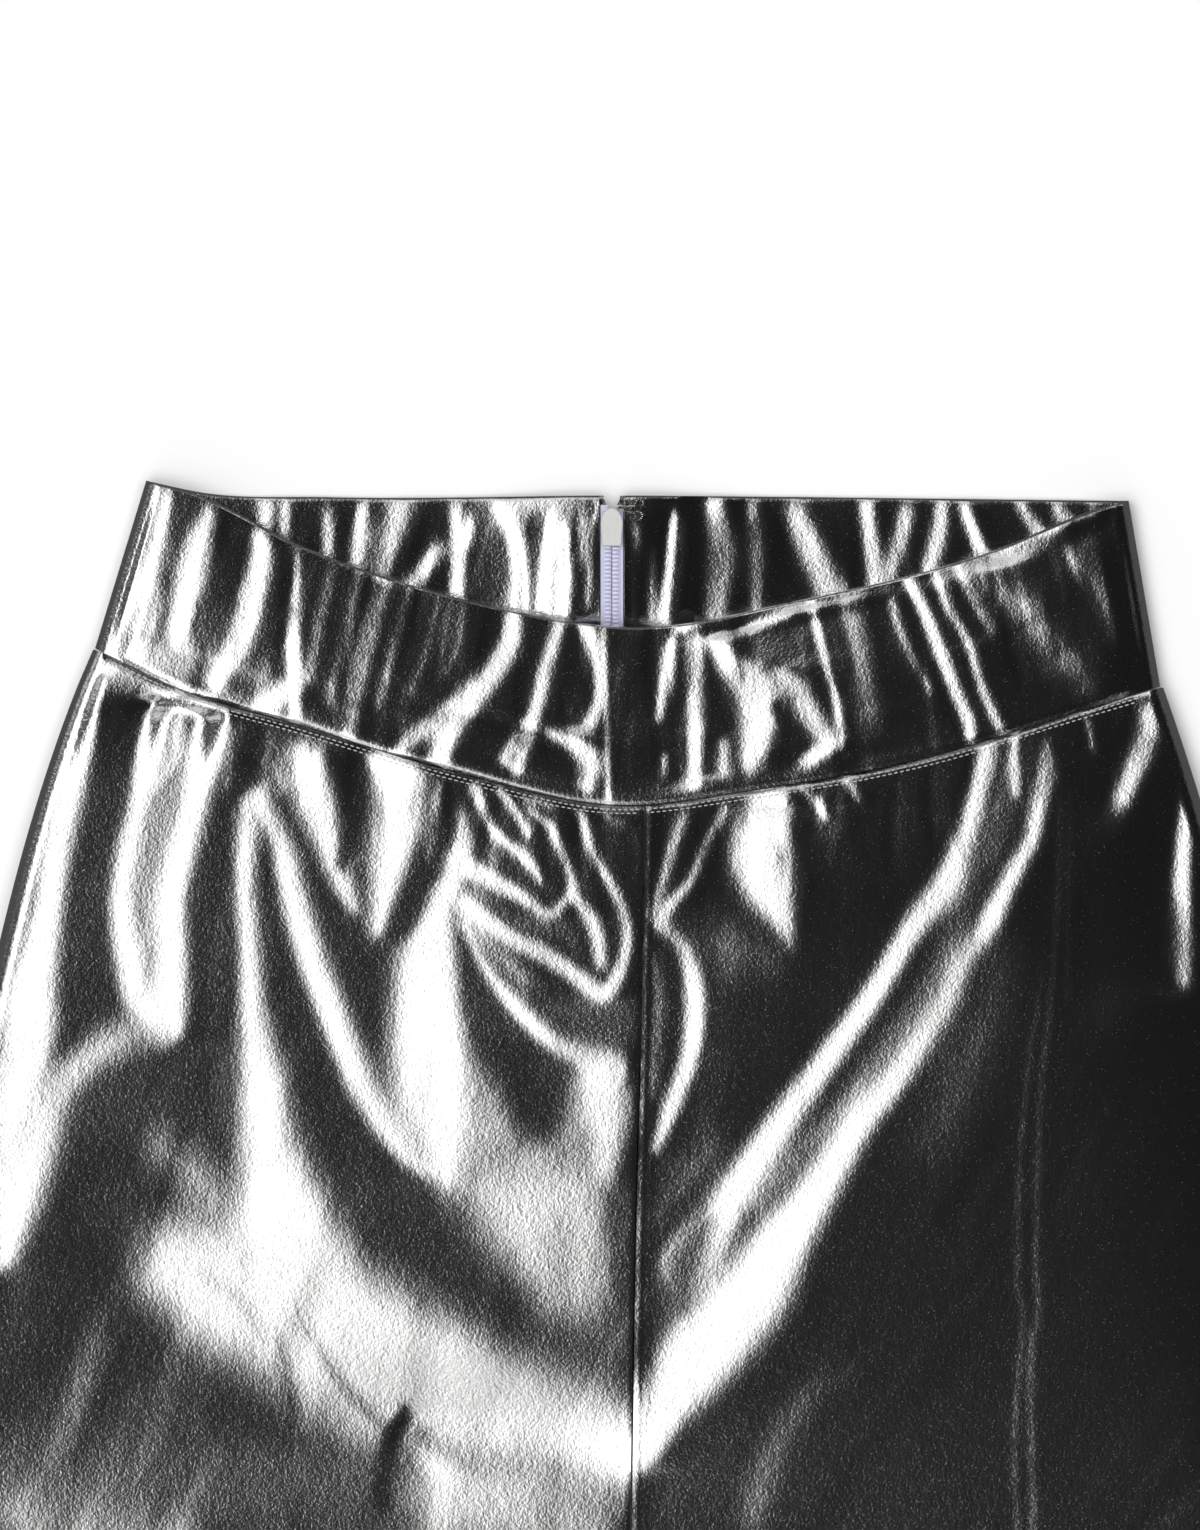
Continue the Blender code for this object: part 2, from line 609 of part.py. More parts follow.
def zip_halves():
    """The two tapes and the two rows of coil that they carry."""
    top, foot = back_top(ZIP_ACROSS), back_seam(ZIP_ACROSS) - SEAM_GAP / 2
    band_downs = top + BACK_BAND_ROWS[1:] * (foot - top)
    downs = np.concatenate([[TAPE_TOP_DOWN], band_downs, TAPE_WIDENS_DOWN, TAPE_ROWS_DOWN, [ZIP_FOOT]])
    coil_downs = np.concatenate([[COIL_TOP_DOWN], downs[2:-1], [ZIP_FOOT - COIL_ABOVE_STOP]])
    for name, side in (("left", -1), ("right", 1)):
        near = ZIP_ACROSS + side * zip_split(downs)
        widened = smooth_step(downs, TAPE_WIDENS_DOWN[0] + 0.1, TAPE_WIDENS_DOWN[1] - 0.1)
        wide = TAPE_HALF + (TAPE_WIDE_HALF - TAPE_HALF) * widened
        low = zip_base(downs) + PIECE_GAP
        far = ZIP_ACROSS + side * wide
        strip(f"zip_tape_{name}", downs, near, far, low, TAPE_THICK, "zip_tape", TAPE_CLOTH)
        near = ZIP_ACROSS + side * zip_split(coil_downs)
        far = ZIP_ACROSS + side * np.full(len(coil_downs), COIL_HALF)
        low = zip_base(coil_downs) + 2 * PIECE_GAP + TAPE_THICK
        strip(f"zip_coil_{name}", coil_downs, near, far, low, COIL_THICK, "zip_coil", NYLON)


def prism(name, outline, low, high):
    """A closed prism from an outline of (across, down) points, between two heights."""
    n = len(outline)
    points = [to_row(a, d, h) for h in (low, high) for a, d in outline]
    faces = [tuple(range(n)), tuple(range(2 * n - 1, n - 1, -1))]
    faces += [(i, (i + 1) % n, n + (i + 1) % n, n + i) for i in range(n)]
    return add_mesh(name, points, faces, "enamel", ENAMEL)


def rod(name, radius, half, sides=12):
    """A round bar along X, centred on the pull tab's pivot."""
    angles = [2 * math.pi * k / sides for k in range(sides)]
    ring = [(PIVOT_DOWN + radius * math.sin(a), PIVOT_HEIGHT + radius * math.cos(a)) for a in angles]
    points = [to_row(ZIP_ACROSS + x, d, h) for x in (-half, half) for d, h in ring]
    faces = [tuple(range(sides)), tuple(range(2 * sides - 1, sides - 1, -1))]
    faces += [(i, (i + 1) % sides, sides + (i + 1) % sides, sides + i) for i in range(sides)]
    return add_mesh(name, points, faces, "enamel", ENAMEL)


def combine(target, other, operation):
    """Joins another solid into the target, or cuts it out, and leaves the other out of the model."""
    change = target.modifiers.new(other.name, "BOOLEAN")
    change.object = other
    change.operation = operation
    other.hide_render = True
    other.display_type = "WIRE"


def box_outline(half, downs):
    """A rectangle about the zip's line."""
    return [
        (ZIP_ACROSS - half, downs[0]), (ZIP_ACROSS + half, downs[0]),
        (ZIP_ACROSS + half, downs[1]), (ZIP_ACROSS - half, downs[1]),
    ]


def slider_outline():
    """The shield shape of the slider's inner plate: round shoulders above, square below."""
    shoulders = []
    for k in range(9):
        angle = math.pi * k / 8
        shoulders.append((
            ZIP_ACROSS - SLIDER_HALF * math.cos(angle),
            SLIDER_TOP_DOWN + SLIDER_SHOULDER * (1 - math.sin(angle)),
        ))
    foot = SLIDER_TOP_DOWN + SLIDER_LENGTH
    return shoulders + [(ZIP_ACROSS + SLIDER_FOOT_HALF, foot), (ZIP_ACROSS - SLIDER_FOOT_HALF, foot)]


def slider():
    """The slider: a plate inside, a neck through the slit and a keeper with its pin outside."""
    arch = ARCH_RISE
    plate_low = arch + LIP_THICK + 3 * PIECE_GAP + TAPE_THICK + COIL_THICK
    body = prism("zip_slider", slider_outline(), plate_low, plate_low + SLIDER_THICK)
    bevel = body.modifiers.new("rounded", "BEVEL")
    bevel.width = SLIDER_BEVEL * MM
    bevel.segments = 1
    bevel.limit_method = "ANGLE"
    keeper_low = arch - PIECE_GAP - KEEPER_THICK
    neck = prism("neck", box_outline(NECK_HALF, NECK_DOWN), keeper_low + 0.3, plate_low + 0.5)
    keeper = prism("keeper", box_outline(KEEPER_HALF, KEEPER_DOWN), keeper_low, arch - PIECE_GAP)
    combine(body, neck, "UNION")
    combine(body, keeper, "UNION")
    inner = BARREL_HALF + PIECE_GAP
    for name, side in (("lug_left", -1), ("lug_right", 1)):
        downs = (PIVOT_DOWN - LUG_HALF, PIVOT_DOWN + LUG_HALF)
        a, b = ZIP_ACROSS + side * inner, ZIP_ACROSS + side * (inner + LUG_THICK)
        outline = [(a, downs[0]), (b, downs[0]), (b, downs[1]), (a, downs[1])]
        lug = prism(name, outline, PIVOT_HEIGHT - LUG_BELOW_PIVOT, keeper_low + 0.4)
        combine(body, lug, "UNION")
    combine(body, rod("pin", PIN_RADIUS, inner + LUG_THICK * 0.6), "UNION")


def pull_tab():
    """The drop-shaped pull tab with its barrel round the slider's pin. It hinges on that pin."""
    foot = PIVOT_DOWN + TAB_LENGTH
    outline = [
        (ZIP_ACROSS - BARREL_HALF, PIVOT_DOWN + TAB_THICK),
        (ZIP_ACROSS - TAB_WAIST_HALF, PIVOT_DOWN + TAB_WAIST_DOWN),
        (ZIP_ACROSS - TAB_HALF, foot - TAB_DROP),
    ]
    for k in range(1, 6):
        angle = math.pi * k / 6
        down = foot - TAB_HALF + TAB_HALF * math.sin(angle)
        outline.append((ZIP_ACROSS - TAB_HALF * math.cos(angle), down))
    outline += [
        (ZIP_ACROSS + TAB_HALF, foot - TAB_DROP),
        (ZIP_ACROSS + TAB_WAIST_HALF, PIVOT_DOWN + TAB_WAIST_DOWN),
        (ZIP_ACROSS + BARREL_HALF, PIVOT_DOWN + TAB_THICK),
    ]
    tab = prism("zip_pull_tab", outline, PIVOT_HEIGHT - TAB_THICK / 2, PIVOT_HEIGHT + TAB_THICK / 2)
    combine(tab, rod("barrel", BARREL_RADIUS, BARREL_HALF, 16), "UNION")
    combine(tab, rod("barrel_bore", BARREL_BORE, BARREL_HALF + 1), "DIFFERENCE")
    pivot = to_row(ZIP_ACROSS, PIVOT_DOWN, PIVOT_HEIGHT)
    for thing in [tab] + [m.object for m in tab.modifiers]:
        for vertex in thing.data.vertices:
            vertex.co = [c - p for c, p in zip(vertex.co, pivot)]
        thing.location = tuple(pivot)


def wire(name, route, radius, finish_name, finish):
    """A bent wire with closed ends, along (across, down, height) points."""
    curve = bpy.data.curves.new(name, "CURVE")
    curve.dimensions = "3D"
    curve.bevel_depth = radius * MM
    curve.bevel_resolution = 2
    curve.use_fill_caps = True
    line = curve.splines.new("POLY")
    line.points.add(len(route) - 1)
    for point, (across, down, height) in zip(line.points, route):
        point.co = (*to_row(across, down, height), 1.0)
    curve.materials.append(material(finish_name, finish))
    thing = bpy.data.objects.new(name, curve)
    bpy.context.scene.collection.objects.link(thing)
    return thing


def arc(centre_across, centre_down, radius, start, end, steps, height):
    """Points of a circle's arc in the plane of the cloth, angles in degrees from +X down."""
    return [
        (
            centre_across + radius * math.cos(math.radians(start + (end - start) * k / steps)),
            centre_down + radius * math.sin(math.radians(start + (end - start) * k / steps)),
            height,
        )
        for k in range(steps + 1)
    ]


def hook_and_eye():
    """The bent hook on the right band end and the bar eye on the left one."""
    low = ARCH_RISE + BAND_THICK + PIECE_GAP + WIRE_RADIUS
    top = HOOK_TOP_DOWN
    across, down, radius = UPPER_LOOP
    route = arc(across, top + down, radius, 60, -180, 8, low)
    route += [(x, top + y, low + HOOK_RISE * share) for x, y, share in HOOK_BILL]
    across, down, radius = LOWER_LOOP
    route += arc(across, top + down, radius, -150, 90, 8, low)
    wire("hook", route, WIRE_RADIUS, "gunmetal", GUNMETAL)
    bar = [(EYE_ACROSS + x, top + y, low + rise) for x, y, rise in EYE_BAR]
    wire("hook_eye", bar, WIRE_RADIUS, "gunmetal", GUNMETAL)


def inner_tape_loop():
    """The narrow black tape on the inside of the back band, its top just above the front edge."""
    downs = np.linspace(*TAPE_LOOP_DOWN, 7)
    across = TAPE_LOOP_ACROSS + TAPE_LOOP_HALF * np.linspace(-1, 1, 5)
    grid_across, grid_down = np.meshgrid(across, downs)
    grid_down[0] += TAPE_LOOP_BOW * np.linspace(-1, 1, 5) ** 2
    low = back_inner_face(grid_across, grid_down) + PIECE_GAP
    under = to_row(grid_across, grid_down, low)
    over = to_row(grid_across, grid_down, low + TAPE_LOOP_THICK)
    wall("inner_tape_loop", under, over, "black_tape", BLACK_TAPE)


def main():
    clear_scene()
    front_band()
    back_band("back_waistband_left", -1)
    back_band("back_waistband_right", 1)
    panels()
    zip_halves()
    slider()
    pull_tab()
    hook_and_eye()
    inner_tape_loop()


main()
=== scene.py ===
"""Looks of the metallic leggings, laid on their back with the front up.

The pattern is drawn in millimetres. "Across" is the distance to the right of the front centre
seam and "down" the distance below the waist line, both as seen from above with the waist at the
top. Heights are above the surface that the garment lies on. Meshes are made in metres.
"""

import logging
import math
from dataclasses import dataclass, field
from enum import Enum
from typing import Callable, Optional, Sequence

import bpy
import numpy as np
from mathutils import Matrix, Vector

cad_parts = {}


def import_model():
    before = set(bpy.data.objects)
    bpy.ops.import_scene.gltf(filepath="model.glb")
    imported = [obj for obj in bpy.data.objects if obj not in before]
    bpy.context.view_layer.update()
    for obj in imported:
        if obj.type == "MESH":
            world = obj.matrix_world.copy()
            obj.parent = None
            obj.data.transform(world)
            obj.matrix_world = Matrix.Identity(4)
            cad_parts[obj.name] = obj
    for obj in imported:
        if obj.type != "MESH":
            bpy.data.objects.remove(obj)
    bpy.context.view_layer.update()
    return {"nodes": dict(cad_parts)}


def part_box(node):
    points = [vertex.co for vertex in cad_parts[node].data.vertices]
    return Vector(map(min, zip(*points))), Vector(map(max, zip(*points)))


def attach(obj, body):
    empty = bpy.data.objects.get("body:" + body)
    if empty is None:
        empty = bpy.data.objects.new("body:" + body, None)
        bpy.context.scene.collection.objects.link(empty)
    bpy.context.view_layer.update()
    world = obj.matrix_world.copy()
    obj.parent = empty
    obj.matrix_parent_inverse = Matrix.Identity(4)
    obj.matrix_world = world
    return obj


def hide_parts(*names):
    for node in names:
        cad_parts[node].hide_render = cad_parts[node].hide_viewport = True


LOG = logging.getLogger("leggings")
MM = 0.001
IMAGE_WIDTH, IMAGE_HEIGHT = 1200, 1530
MM_PER_PIXEL = 0.32
SEAM_PIXEL, WAIST_PIXEL = 640, 500
BAND_HEIGHT = 56.0
BAND_DOME = 42.0
SEAM_GAP = 0.2

Rows = Sequence[Sequence[float]]
Array = np.ndarray


# ---------------------------------------------------------------- pattern


def smooth_step(value: Array, low: float, high: float) -> Array:
    """Rises smoothly from 0 at low to 1 at high."""
    t = np.clip((np.asarray(value, float) - low) / (high - low), 0, 1)
    return t * t * (3 - 2 * t)


class Line:
    """A smooth line through a few points of the pattern."""

    def __init__(self, points: Rows) -> None:
        """Keeps the points and the slope at each.

        Args:
            points: (where, value) pairs in order of where.
        """
        self.at, self.value = np.array(points, float).T
        self.slope = np.gradient(self.value, self.at)

    def __call__(self, where: Array) -> Array:
        """The line's value at each place."""
        where = np.clip(np.asarray(where, float), self.at[0], self.at[-1])
        k = np.clip(np.searchsorted(self.at, where) - 1, 0, len(self.at) - 2)
        span = self.at[k + 1] - self.at[k]
        t = (where - self.at[k]) / span
        start = (1 + 2 * t) * (1 - t) ** 2 * self.value[k]
        start += t * (1 - t) ** 2 * span * self.slope[k]
        end = t**2 * (3 - 2 * t) * self.value[k + 1]
        return start + end - t**2 * (1 - t) * span * self.slope[k + 1]


class Side(Enum):
    """Which leg or band end, as seen from above."""

    LEFT = -1
    RIGHT = 1


class Layer(Enum):
    """The front of the garment is its upper layer here and the back its lower one."""

    FRONT = "front"
    BACK = "back"


class Pattern:
    """The outline of the garment, the same as the one that the CAD part is made from."""

    band_top_ends = (-158.4, 156.8)
    band_foot_ends = (-174.8, 166.9)
    band_roll = 5.0
    zip_across = -9.0
    crotch_down = 345.0
    hem_down = 975.0
    top_level = 52.0
    centre_down = 484.3
    front_top = Line([
        (-158.4, -6.4), (-144.0, -2.6), (-108.8, 14.4), (-51.2, 33.0), (0.0, 40.6),
        (51.2, 32.0), (115.2, 15.4), (144.0, 3.6), (156.8, 0.0),
    ])
    front_seam = Line([
        (-174.8, 47.6), (-145.9, 61.1), (-109.3, 72.0), (-57.9, 87.4), (-9.0, 97.6),
        (36.2, 92.8), (97.3, 81.0), (134.1, 69.6), (166.9, 59.8),
    ])
    back_top = Line([(-158.4, -6.4), (-140.0, -2.6), (-100.0, -1.2), (-9.0, -1.6), (156.8, 0.0)])
    back_seam = Line([(-174.8, 47.6), (-110.0, 54.0), (-9.0, 56.0), (110.0, 57.5), (166.9, 59.8)])
    # down, left outer, left inner, right inner, right outer, roll radius, crown height
    stations = (
        (40, -172.0, 1.6, 1.6, 160.5, 5.0, 26.0),
        (62, -181.4, 1.6, 1.6, 168.6, 5.5, 26.0),
        (84, -189.3, 1.6, 1.6, 176.0, 6.0, 26.0),
        (107, -196.4, 1.6, 1.6, 183.0, 6.5, 26.0),
        (140, -205.0, 0.8, 0.8, 191.5, 7.0, 26.0),
        (180, -214.0, 0.0, 0.0, 200.0, 7.5, 26.0),
        (230, -221.0, -1.4, -1.4, 206.5, 7.5, 25.0),
        (290, -224.0, -2.4, -2.4, 209.0, 7.0, 22.0),
        (345, -221.0, -3.0, -3.0, 206.0, 6.5, 19.0),
        (370, -218.0, -8.0, 2.0, 203.5, 6.5, 18.0),
        (420, -212.0, -14.0, 8.5, 198.0, 6.0, 16.5),
        (520, -199.0, -25.0, 20.0, 187.0, 5.8, 15.0),
        (640, -186.0, -36.0, 32.0, 175.0, 5.5, 14.0),
        (720, -181.0, -38.0, 35.0, 171.0, 5.5, 13.5),
        (800, -174.0, -43.0, 41.0, 166.0, 5.2, 13.0),
        (900, -163.0, -51.0, 49.0, 157.0, 5.0, 12.5),
        (975, -157.0, -55.0, 53.0, 152.0, 4.8, 12.0),
    )

    def __init__(self) -> None:
        """Draws a smooth line down each column of the stations."""
        table = np.array(self.stations, float)
        columns = [Line(np.stack([table[:, 0], table[:, k]], axis=1)) for k in range(1, 7)]
        self.left_outer, self.left_in, self.right_in, self.right_outer = columns[:4]
        self.roll, self.crown = columns[4:]
        downs = np.linspace(40, self.hem_down, 400)
        widest = self.left_outer(downs).min(), self.right_outer(downs).max()
        self.centre_across = sum(widest) / 2

    def outer(self, side: Side, down: Array) -> Array:
        """Where a leg's folded outer side lies."""
        return (self.left_outer if side is Side.LEFT else self.right_outer)(down)

    def inner(self, side: Side, down: Array) -> Array:
        """Where the centre seam lies, or a leg's folded inner side below the crotch."""
        left, right = self.left_in(down), self.right_in(down)
        middle = (left + right) / 2
        return np.minimum(left, middle) if side is Side.LEFT else np.maximum(right, middle)

    def seam(self, layer: Layer) -> Line:
        """The seam under the waistband on one layer."""
        return self.front_seam if layer is Layer.FRONT else self.back_seam

    def parting(self, down: Array) -> Array:
        """0 where the legs share a centre seam and 1 where each has its own inside fold."""
        return smooth_step(down, self.crotch_down - 12, self.crotch_down + 18)

    def zip_arch(self, across: Array, down: Array) -> Array:
        """How far the back is lifted over the zip slider and its pull tab."""
        aside = 1 - smooth_step(np.abs(np.asarray(across) - self.zip_across), 9.0, 46.0)
        return 4.6 * aside * (1 - smooth_step(down, 33.0, 54.0))

    def row_points(self, across: Array, down: Array, height: Array) -> Array:
        """Points of the part's own frame, in metres."""
        across, down, height = np.broadcast_arrays(across, down, height)
        points = [across - self.centre_across, self.centre_down - down, height]
        return np.stack(points, axis=-1) * MM


PATTERN = Pattern()


# ---------------------------------------------------------------- creases


@dataclass(frozen=True)
class Flank:
    """A stretch of cloth that climbs or falls to the right, drawn as a ribbon.

    Attributes:
        climb: rise per millimetre to the right; negative where it falls.
        places: (across, down, half width) along the ribbon, in millimetres.
        soft: how wide the ribbon's left edge is.
        fade: how wide its right edge is, or 0 for the same.
        adds: whether it tilts the cloth further rather than setting its slope.
        round: how much of its half width is rounded off too.
    """

    climb: float
    places: Rows
    soft: float = 4.2
    fade: float = 0.0
    adds: bool = False
    round: float = 0.75

    def cover(self, across: Array, down: Array) -> Array:
        """1 inside the ribbon and 0 outside it.

        Args:
            across: the places' distances across, on a grid.
            down: their distances down, on the same grid.
        Returns:
            The cover at each place.
        """
        route = self.route()
        fade = self.fade or self.soft
        reach = 1.5 * route[:, 2].max() + max(self.soft, fade)
        near = (across > route[:, 0].min() - reach) & (across < route[:, 0].max() + reach)
        near &= (down > route[:, 1].min() - reach) & (down < route[:, 1].max() + reach)
        px, py = across[near], down[near]
        outside, width = np.full(px.shape, 1e3), np.full(px.shape, self.soft)
        for (ax, ay, aw), (bx, by, bw) in zip(route[:-1], route[1:]):
            dx, dy = bx - ax, by - ay
            t = np.clip(((px - ax) * dx + (py - ay) * dy) / max(dx * dx + dy * dy, 1e-9), 0, 1)
            gap = np.hypot(px - ax - t * dx, py - ay - t * dy) - (aw + (bw - aw) * t)
            edge = np.where(px > ax + t * dx, fade, self.soft) + self.round * (aw + (bw - aw) * t)
            width = np.where(gap < outside, edge, width)
            np.minimum(outside, gap, out=outside)
        share = np.clip(0.5 - outside / (1.2 * width), 0, 1)
        cover = np.zeros(across.shape)
        cover[near] = share * share * (3 - 2 * share)
        return cover

    def tilt(self, slope: Array, climbing: Array, across: Array, down: Array) -> tuple:
        """The cloth's slope with this ribbon drawn on it.

        Args:
            slope: the slope so far, on a grid.
            climbing: 1 on the climbing flanks so far.
            across: the grid's distances across.
            down: its distances down.
        Returns:
            The new slope and the new climbing grid.
        """
        cover = self.cover(across, down)
        if self.adds:
            return slope + self.climb * cover, climbing
        slope = slope * (1 - cover) + self.climb * cover
        return slope, climbing * (1 - cover) + cover * smooth_step(self.climb, 0.09, 0.16)

    def route(self) -> Array:
        """The ribbon's places, with smooth bends between them."""
        rows = np.array(self.places, float)
        if len(rows) < 3:
            return rows
        t = np.arange(len(rows))
        fine = np.linspace(0, len(rows) - 1, 5 * (len(rows) - 1) + 1)
        return np.stack([Line(np.stack([t, rows[:, k]], axis=1))(fine) for k in range(3)], axis=1)


def blur(grid: Array, rows: float, columns: float) -> Array:
    """A grid smoothed by a bell curve of so many rows and columns."""
    for axis, sigma in ((0, rows), (1, columns)):
        if sigma <= 0:
            continue
        half = int(3 * sigma) + 1
        bell = np.exp(-0.5 * (np.arange(-half, half + 1) / sigma) ** 2)
        bell /= bell.sum()
        width = [(half, half) if a == axis else (0, 0) for a in (0, 1)]
        padded = np.pad(grid, width, mode="edge")
        size = grid.shape[axis]
        grid = sum(
            bell[k] * np.take(padded, range(k, k + size), axis=axis) for k in range(len(bell))
        )
    return grid


def sample(grid: Array, rows: Array, columns: Array) -> Array:
    """Values of a grid between its places.

    Args:
        grid: the values.
        rows: row numbers, with fractions.
        columns: column numbers, with fractions.
    Returns:
        The value at each (row, column).
    """
    rows = np.clip(rows, 0, grid.shape[0] - 1.001)
    columns = np.clip(columns, 0, grid.shape[1] - 1.001)
    i, j = rows.astype(int), columns.astype(int)
    a, b = rows - i, columns - j
    top = grid[i, j] * (1 - b) + grid[i, j + 1] * b
    foot = grid[i + 1, j] * (1 - b) + grid[i + 1, j + 1] * b
    return top * (1 - a) + foot * a


def bends(count: int, open_ends: bool) -> tuple:
    """Natural bends of a row of evenly spaced points, for spreading a slope smoothly.

    Args:
        count: how many points.
        open_ends: whether the row's ends are free; otherwise they are held at nothing.
    Returns:
        The stiffness of each bend, and the bends as columns.
    """
    stiff = 2 * np.eye(count) - np.eye(count, k=1) - np.eye(count, k=-1)
    if open_ends:
        stiff[0, 0] = stiff[-1, -1] = 1
    return np.linalg.eigh(stiff)


class HipRelief:
    """The creases of one half of the upper layer, from the waistband down to the thighs.

    Its grid runs from the folded side to the centre seam, and from the band down.
    """

    columns = 300
    rows = 330
    first_down = 38.0
    last_down = 354.0
    even = 0.07

    def __init__(self, side: Side, flanks: Sequence[Flank], fall: float) -> None:
        """Draws the flanks, and finds the cloth whose slopes across come closest to them.

        Args:
            side: which half.
            flanks: the climbing and falling stretches.
            fall: the slope of the cloth between them.
        """
        self.side = side
        self.down = np.linspace(self.first_down, self.last_down, self.rows)
        share = np.linspace(0, 1, self.columns + 2)
        fold, centre = self.ends(self.down)
        across = fold[:, None] + share[None, :] * (centre - fold)[:, None]
        middle = (across[:, 1:] + across[:, :-1]) / 2
        down = np.broadcast_to(self.down[:, None], middle.shape)
        slope = np.full(middle.shape, fall)
        climbing = np.zeros(middle.shape)
        for flank in flanks:
            slope, climbing = flank.tilt(slope, climbing, middle, down)
        crown = self.centre_rise()
        step = (centre - fold)[:, None] / (self.columns + 1)
        missing = crown - (slope * step).sum(axis=1)
        wanted = climbing
        if side is Side.RIGHT:
            wanted = (1 - climbing) * (1 + 8.0 * np.exp(-np.abs(middle - fold[:, None]) / 26.0))
        free = wanted + 0.06
        more = blur((missing / (free * np.abs(step)).sum(axis=1))[:, None], 9.0, 0)
        slope += np.sign(step) * more * free
        rise = slope * step
        held = crown[:, None] * share[None, :]
        rise -= np.diff(held, axis=1)
        pull = rise[:, :-1] - rise[:, 1:]
        across_stiff, across_bends = bends(self.columns, False)
        down_stiff, down_bends = bends(self.rows, True)
        row_step = (self.last_down - self.first_down) / (self.rows - 1)
        tie = self.even * (np.abs(step).mean() / row_step) ** 2
        spread = (down_bends.T @ pull @ across_bends) / (
            across_stiff[None, :] + tie * down_stiff[:, None])
        relief = down_bends @ spread @ across_bends.T
        self.grid = held.copy()
        self.grid[:, 1:-1] += relief

    def ends(self, down: Array) -> tuple:
        """Where the flat cloth ends at the folded side, and at the centre."""
        roll = PATTERN.roll(down) * self.side.value
        return PATTERN.outer(self.side, down) - roll, PATTERN.inner(self.side, down)

    def centre_rise(self) -> Array:
        """How far the centre seam lies above the folded sides, row by row."""
        seam_down = float(PATTERN.front_seam(0.0))
        below = np.maximum(self.down - seam_down, 0)
        crown = 19.0 + (PATTERN.crown(self.down) - 19.0) * (1 - np.exp(-below / 30.0))
        return crown - 2 * PATTERN.roll(self.down)

    def height(self, across: Array, down: Array) -> Array:
        """The creases' height above the folded sides."""
        fold, centre = self.ends(down)
        share = np.clip((across - fold) / (centre - fold), 0, 1)
        rows = (down - self.first_down) / (self.last_down - self.first_down) * (self.rows - 1)
        return sample(self.grid, rows, share * (self.columns + 1))


class BandRelief:
    """The gathers of a waistband, in rows that follow its top edge and its seam."""

    step = 0.6

    def __init__(self, flanks: Sequence[Flank], top: Line, foot: Line, count: int,
                 fall: float, keep: float, base: Optional[Callable] = None) -> None:
        """Draws the flanks and adds up their slopes along each row.

        Args:
            flanks: the climbing and falling stretches.
            top: the band's upper edge.
            foot: the band's seam.
            count: how many rows.
            fall: the slope of the cloth between the flanks.
            keep: how wide a swell may be before it is flattened, in millimetres.
            base: height of the form under the band, whose own slope the flanks make up for.
        """
        self.across = np.arange(-178.0, 172.0, self.step)
        self.share = np.linspace(0, 1, count)
        self.top, self.foot = top, foot
        share = self.share[:, None]
        down = (1 - share) * top(self.across)[None, :] + share * foot(self.across)[None, :]
        across = np.broadcast_to(self.across[None, :], down.shape)
        slope, climbing = np.full(down.shape, fall), np.zeros(down.shape)
        for flank in flanks:
            slope, climbing = flank.tilt(slope, climbing, across, down)
        if base is not None:
            lean = base(across + 0.5, down) - base(across - 0.5, down)
            slope -= climbing * np.where(lean > 0, 0.25, 1.1) * lean
            slope -= 0.6 * (1 - climbing) * np.abs(lean)
        total = np.cumsum(slope, axis=1) * self.step
        total -= blur(total, 0, keep / self.step)
        self.grid = blur(total, 0.8, 1.0)

    def height(self, across: Array, down: Array) -> Array:
        """The gathers' height above or below the band's own crown."""
        top, foot = self.top(across), self.foot(across)
        rows = (down - top) / (foot - top) * (len(self.share) - 1)
        return sample(self.grid, rows, (across - self.across[0]) / self.step)


@dataclass(frozen=True)
class Fold:
    """A soft bowed ridge, steeper on one side, that fades at both ends; a trough if its rise is negative."""

    across: float
    down: float
    to_across: float
    to_down: float
    width: float
    rise: float
    bow: float = 0.0

    def height(self, across: Array, down: Array) -> Array:
        """The fold's height at each place."""
        run = np.array([self.to_across - self.across, self.to_down - self.down])
        length = math.hypot(*run)
        way = run / length
        t = ((across - self.across) * way[0] + (down - self.down) * way[1]) / length
        off = (down - self.down) * way[0] - (across - self.across) * way[1]
        off = off - 4 * self.bow * t * (1 - t)
        taper = smooth_step(t, 0.0, 0.42) * smooth_step(t, 1.0, 0.58)
        width = self.width * (0.55 + 0.45 * taper) * np.where(off > 0, 1.35, 0.75)
        return self.rise * taper * np.exp(-((off / width) ** 2))


BRIGHT = 0.19
GREY = 0.085
FAINT = 0.065

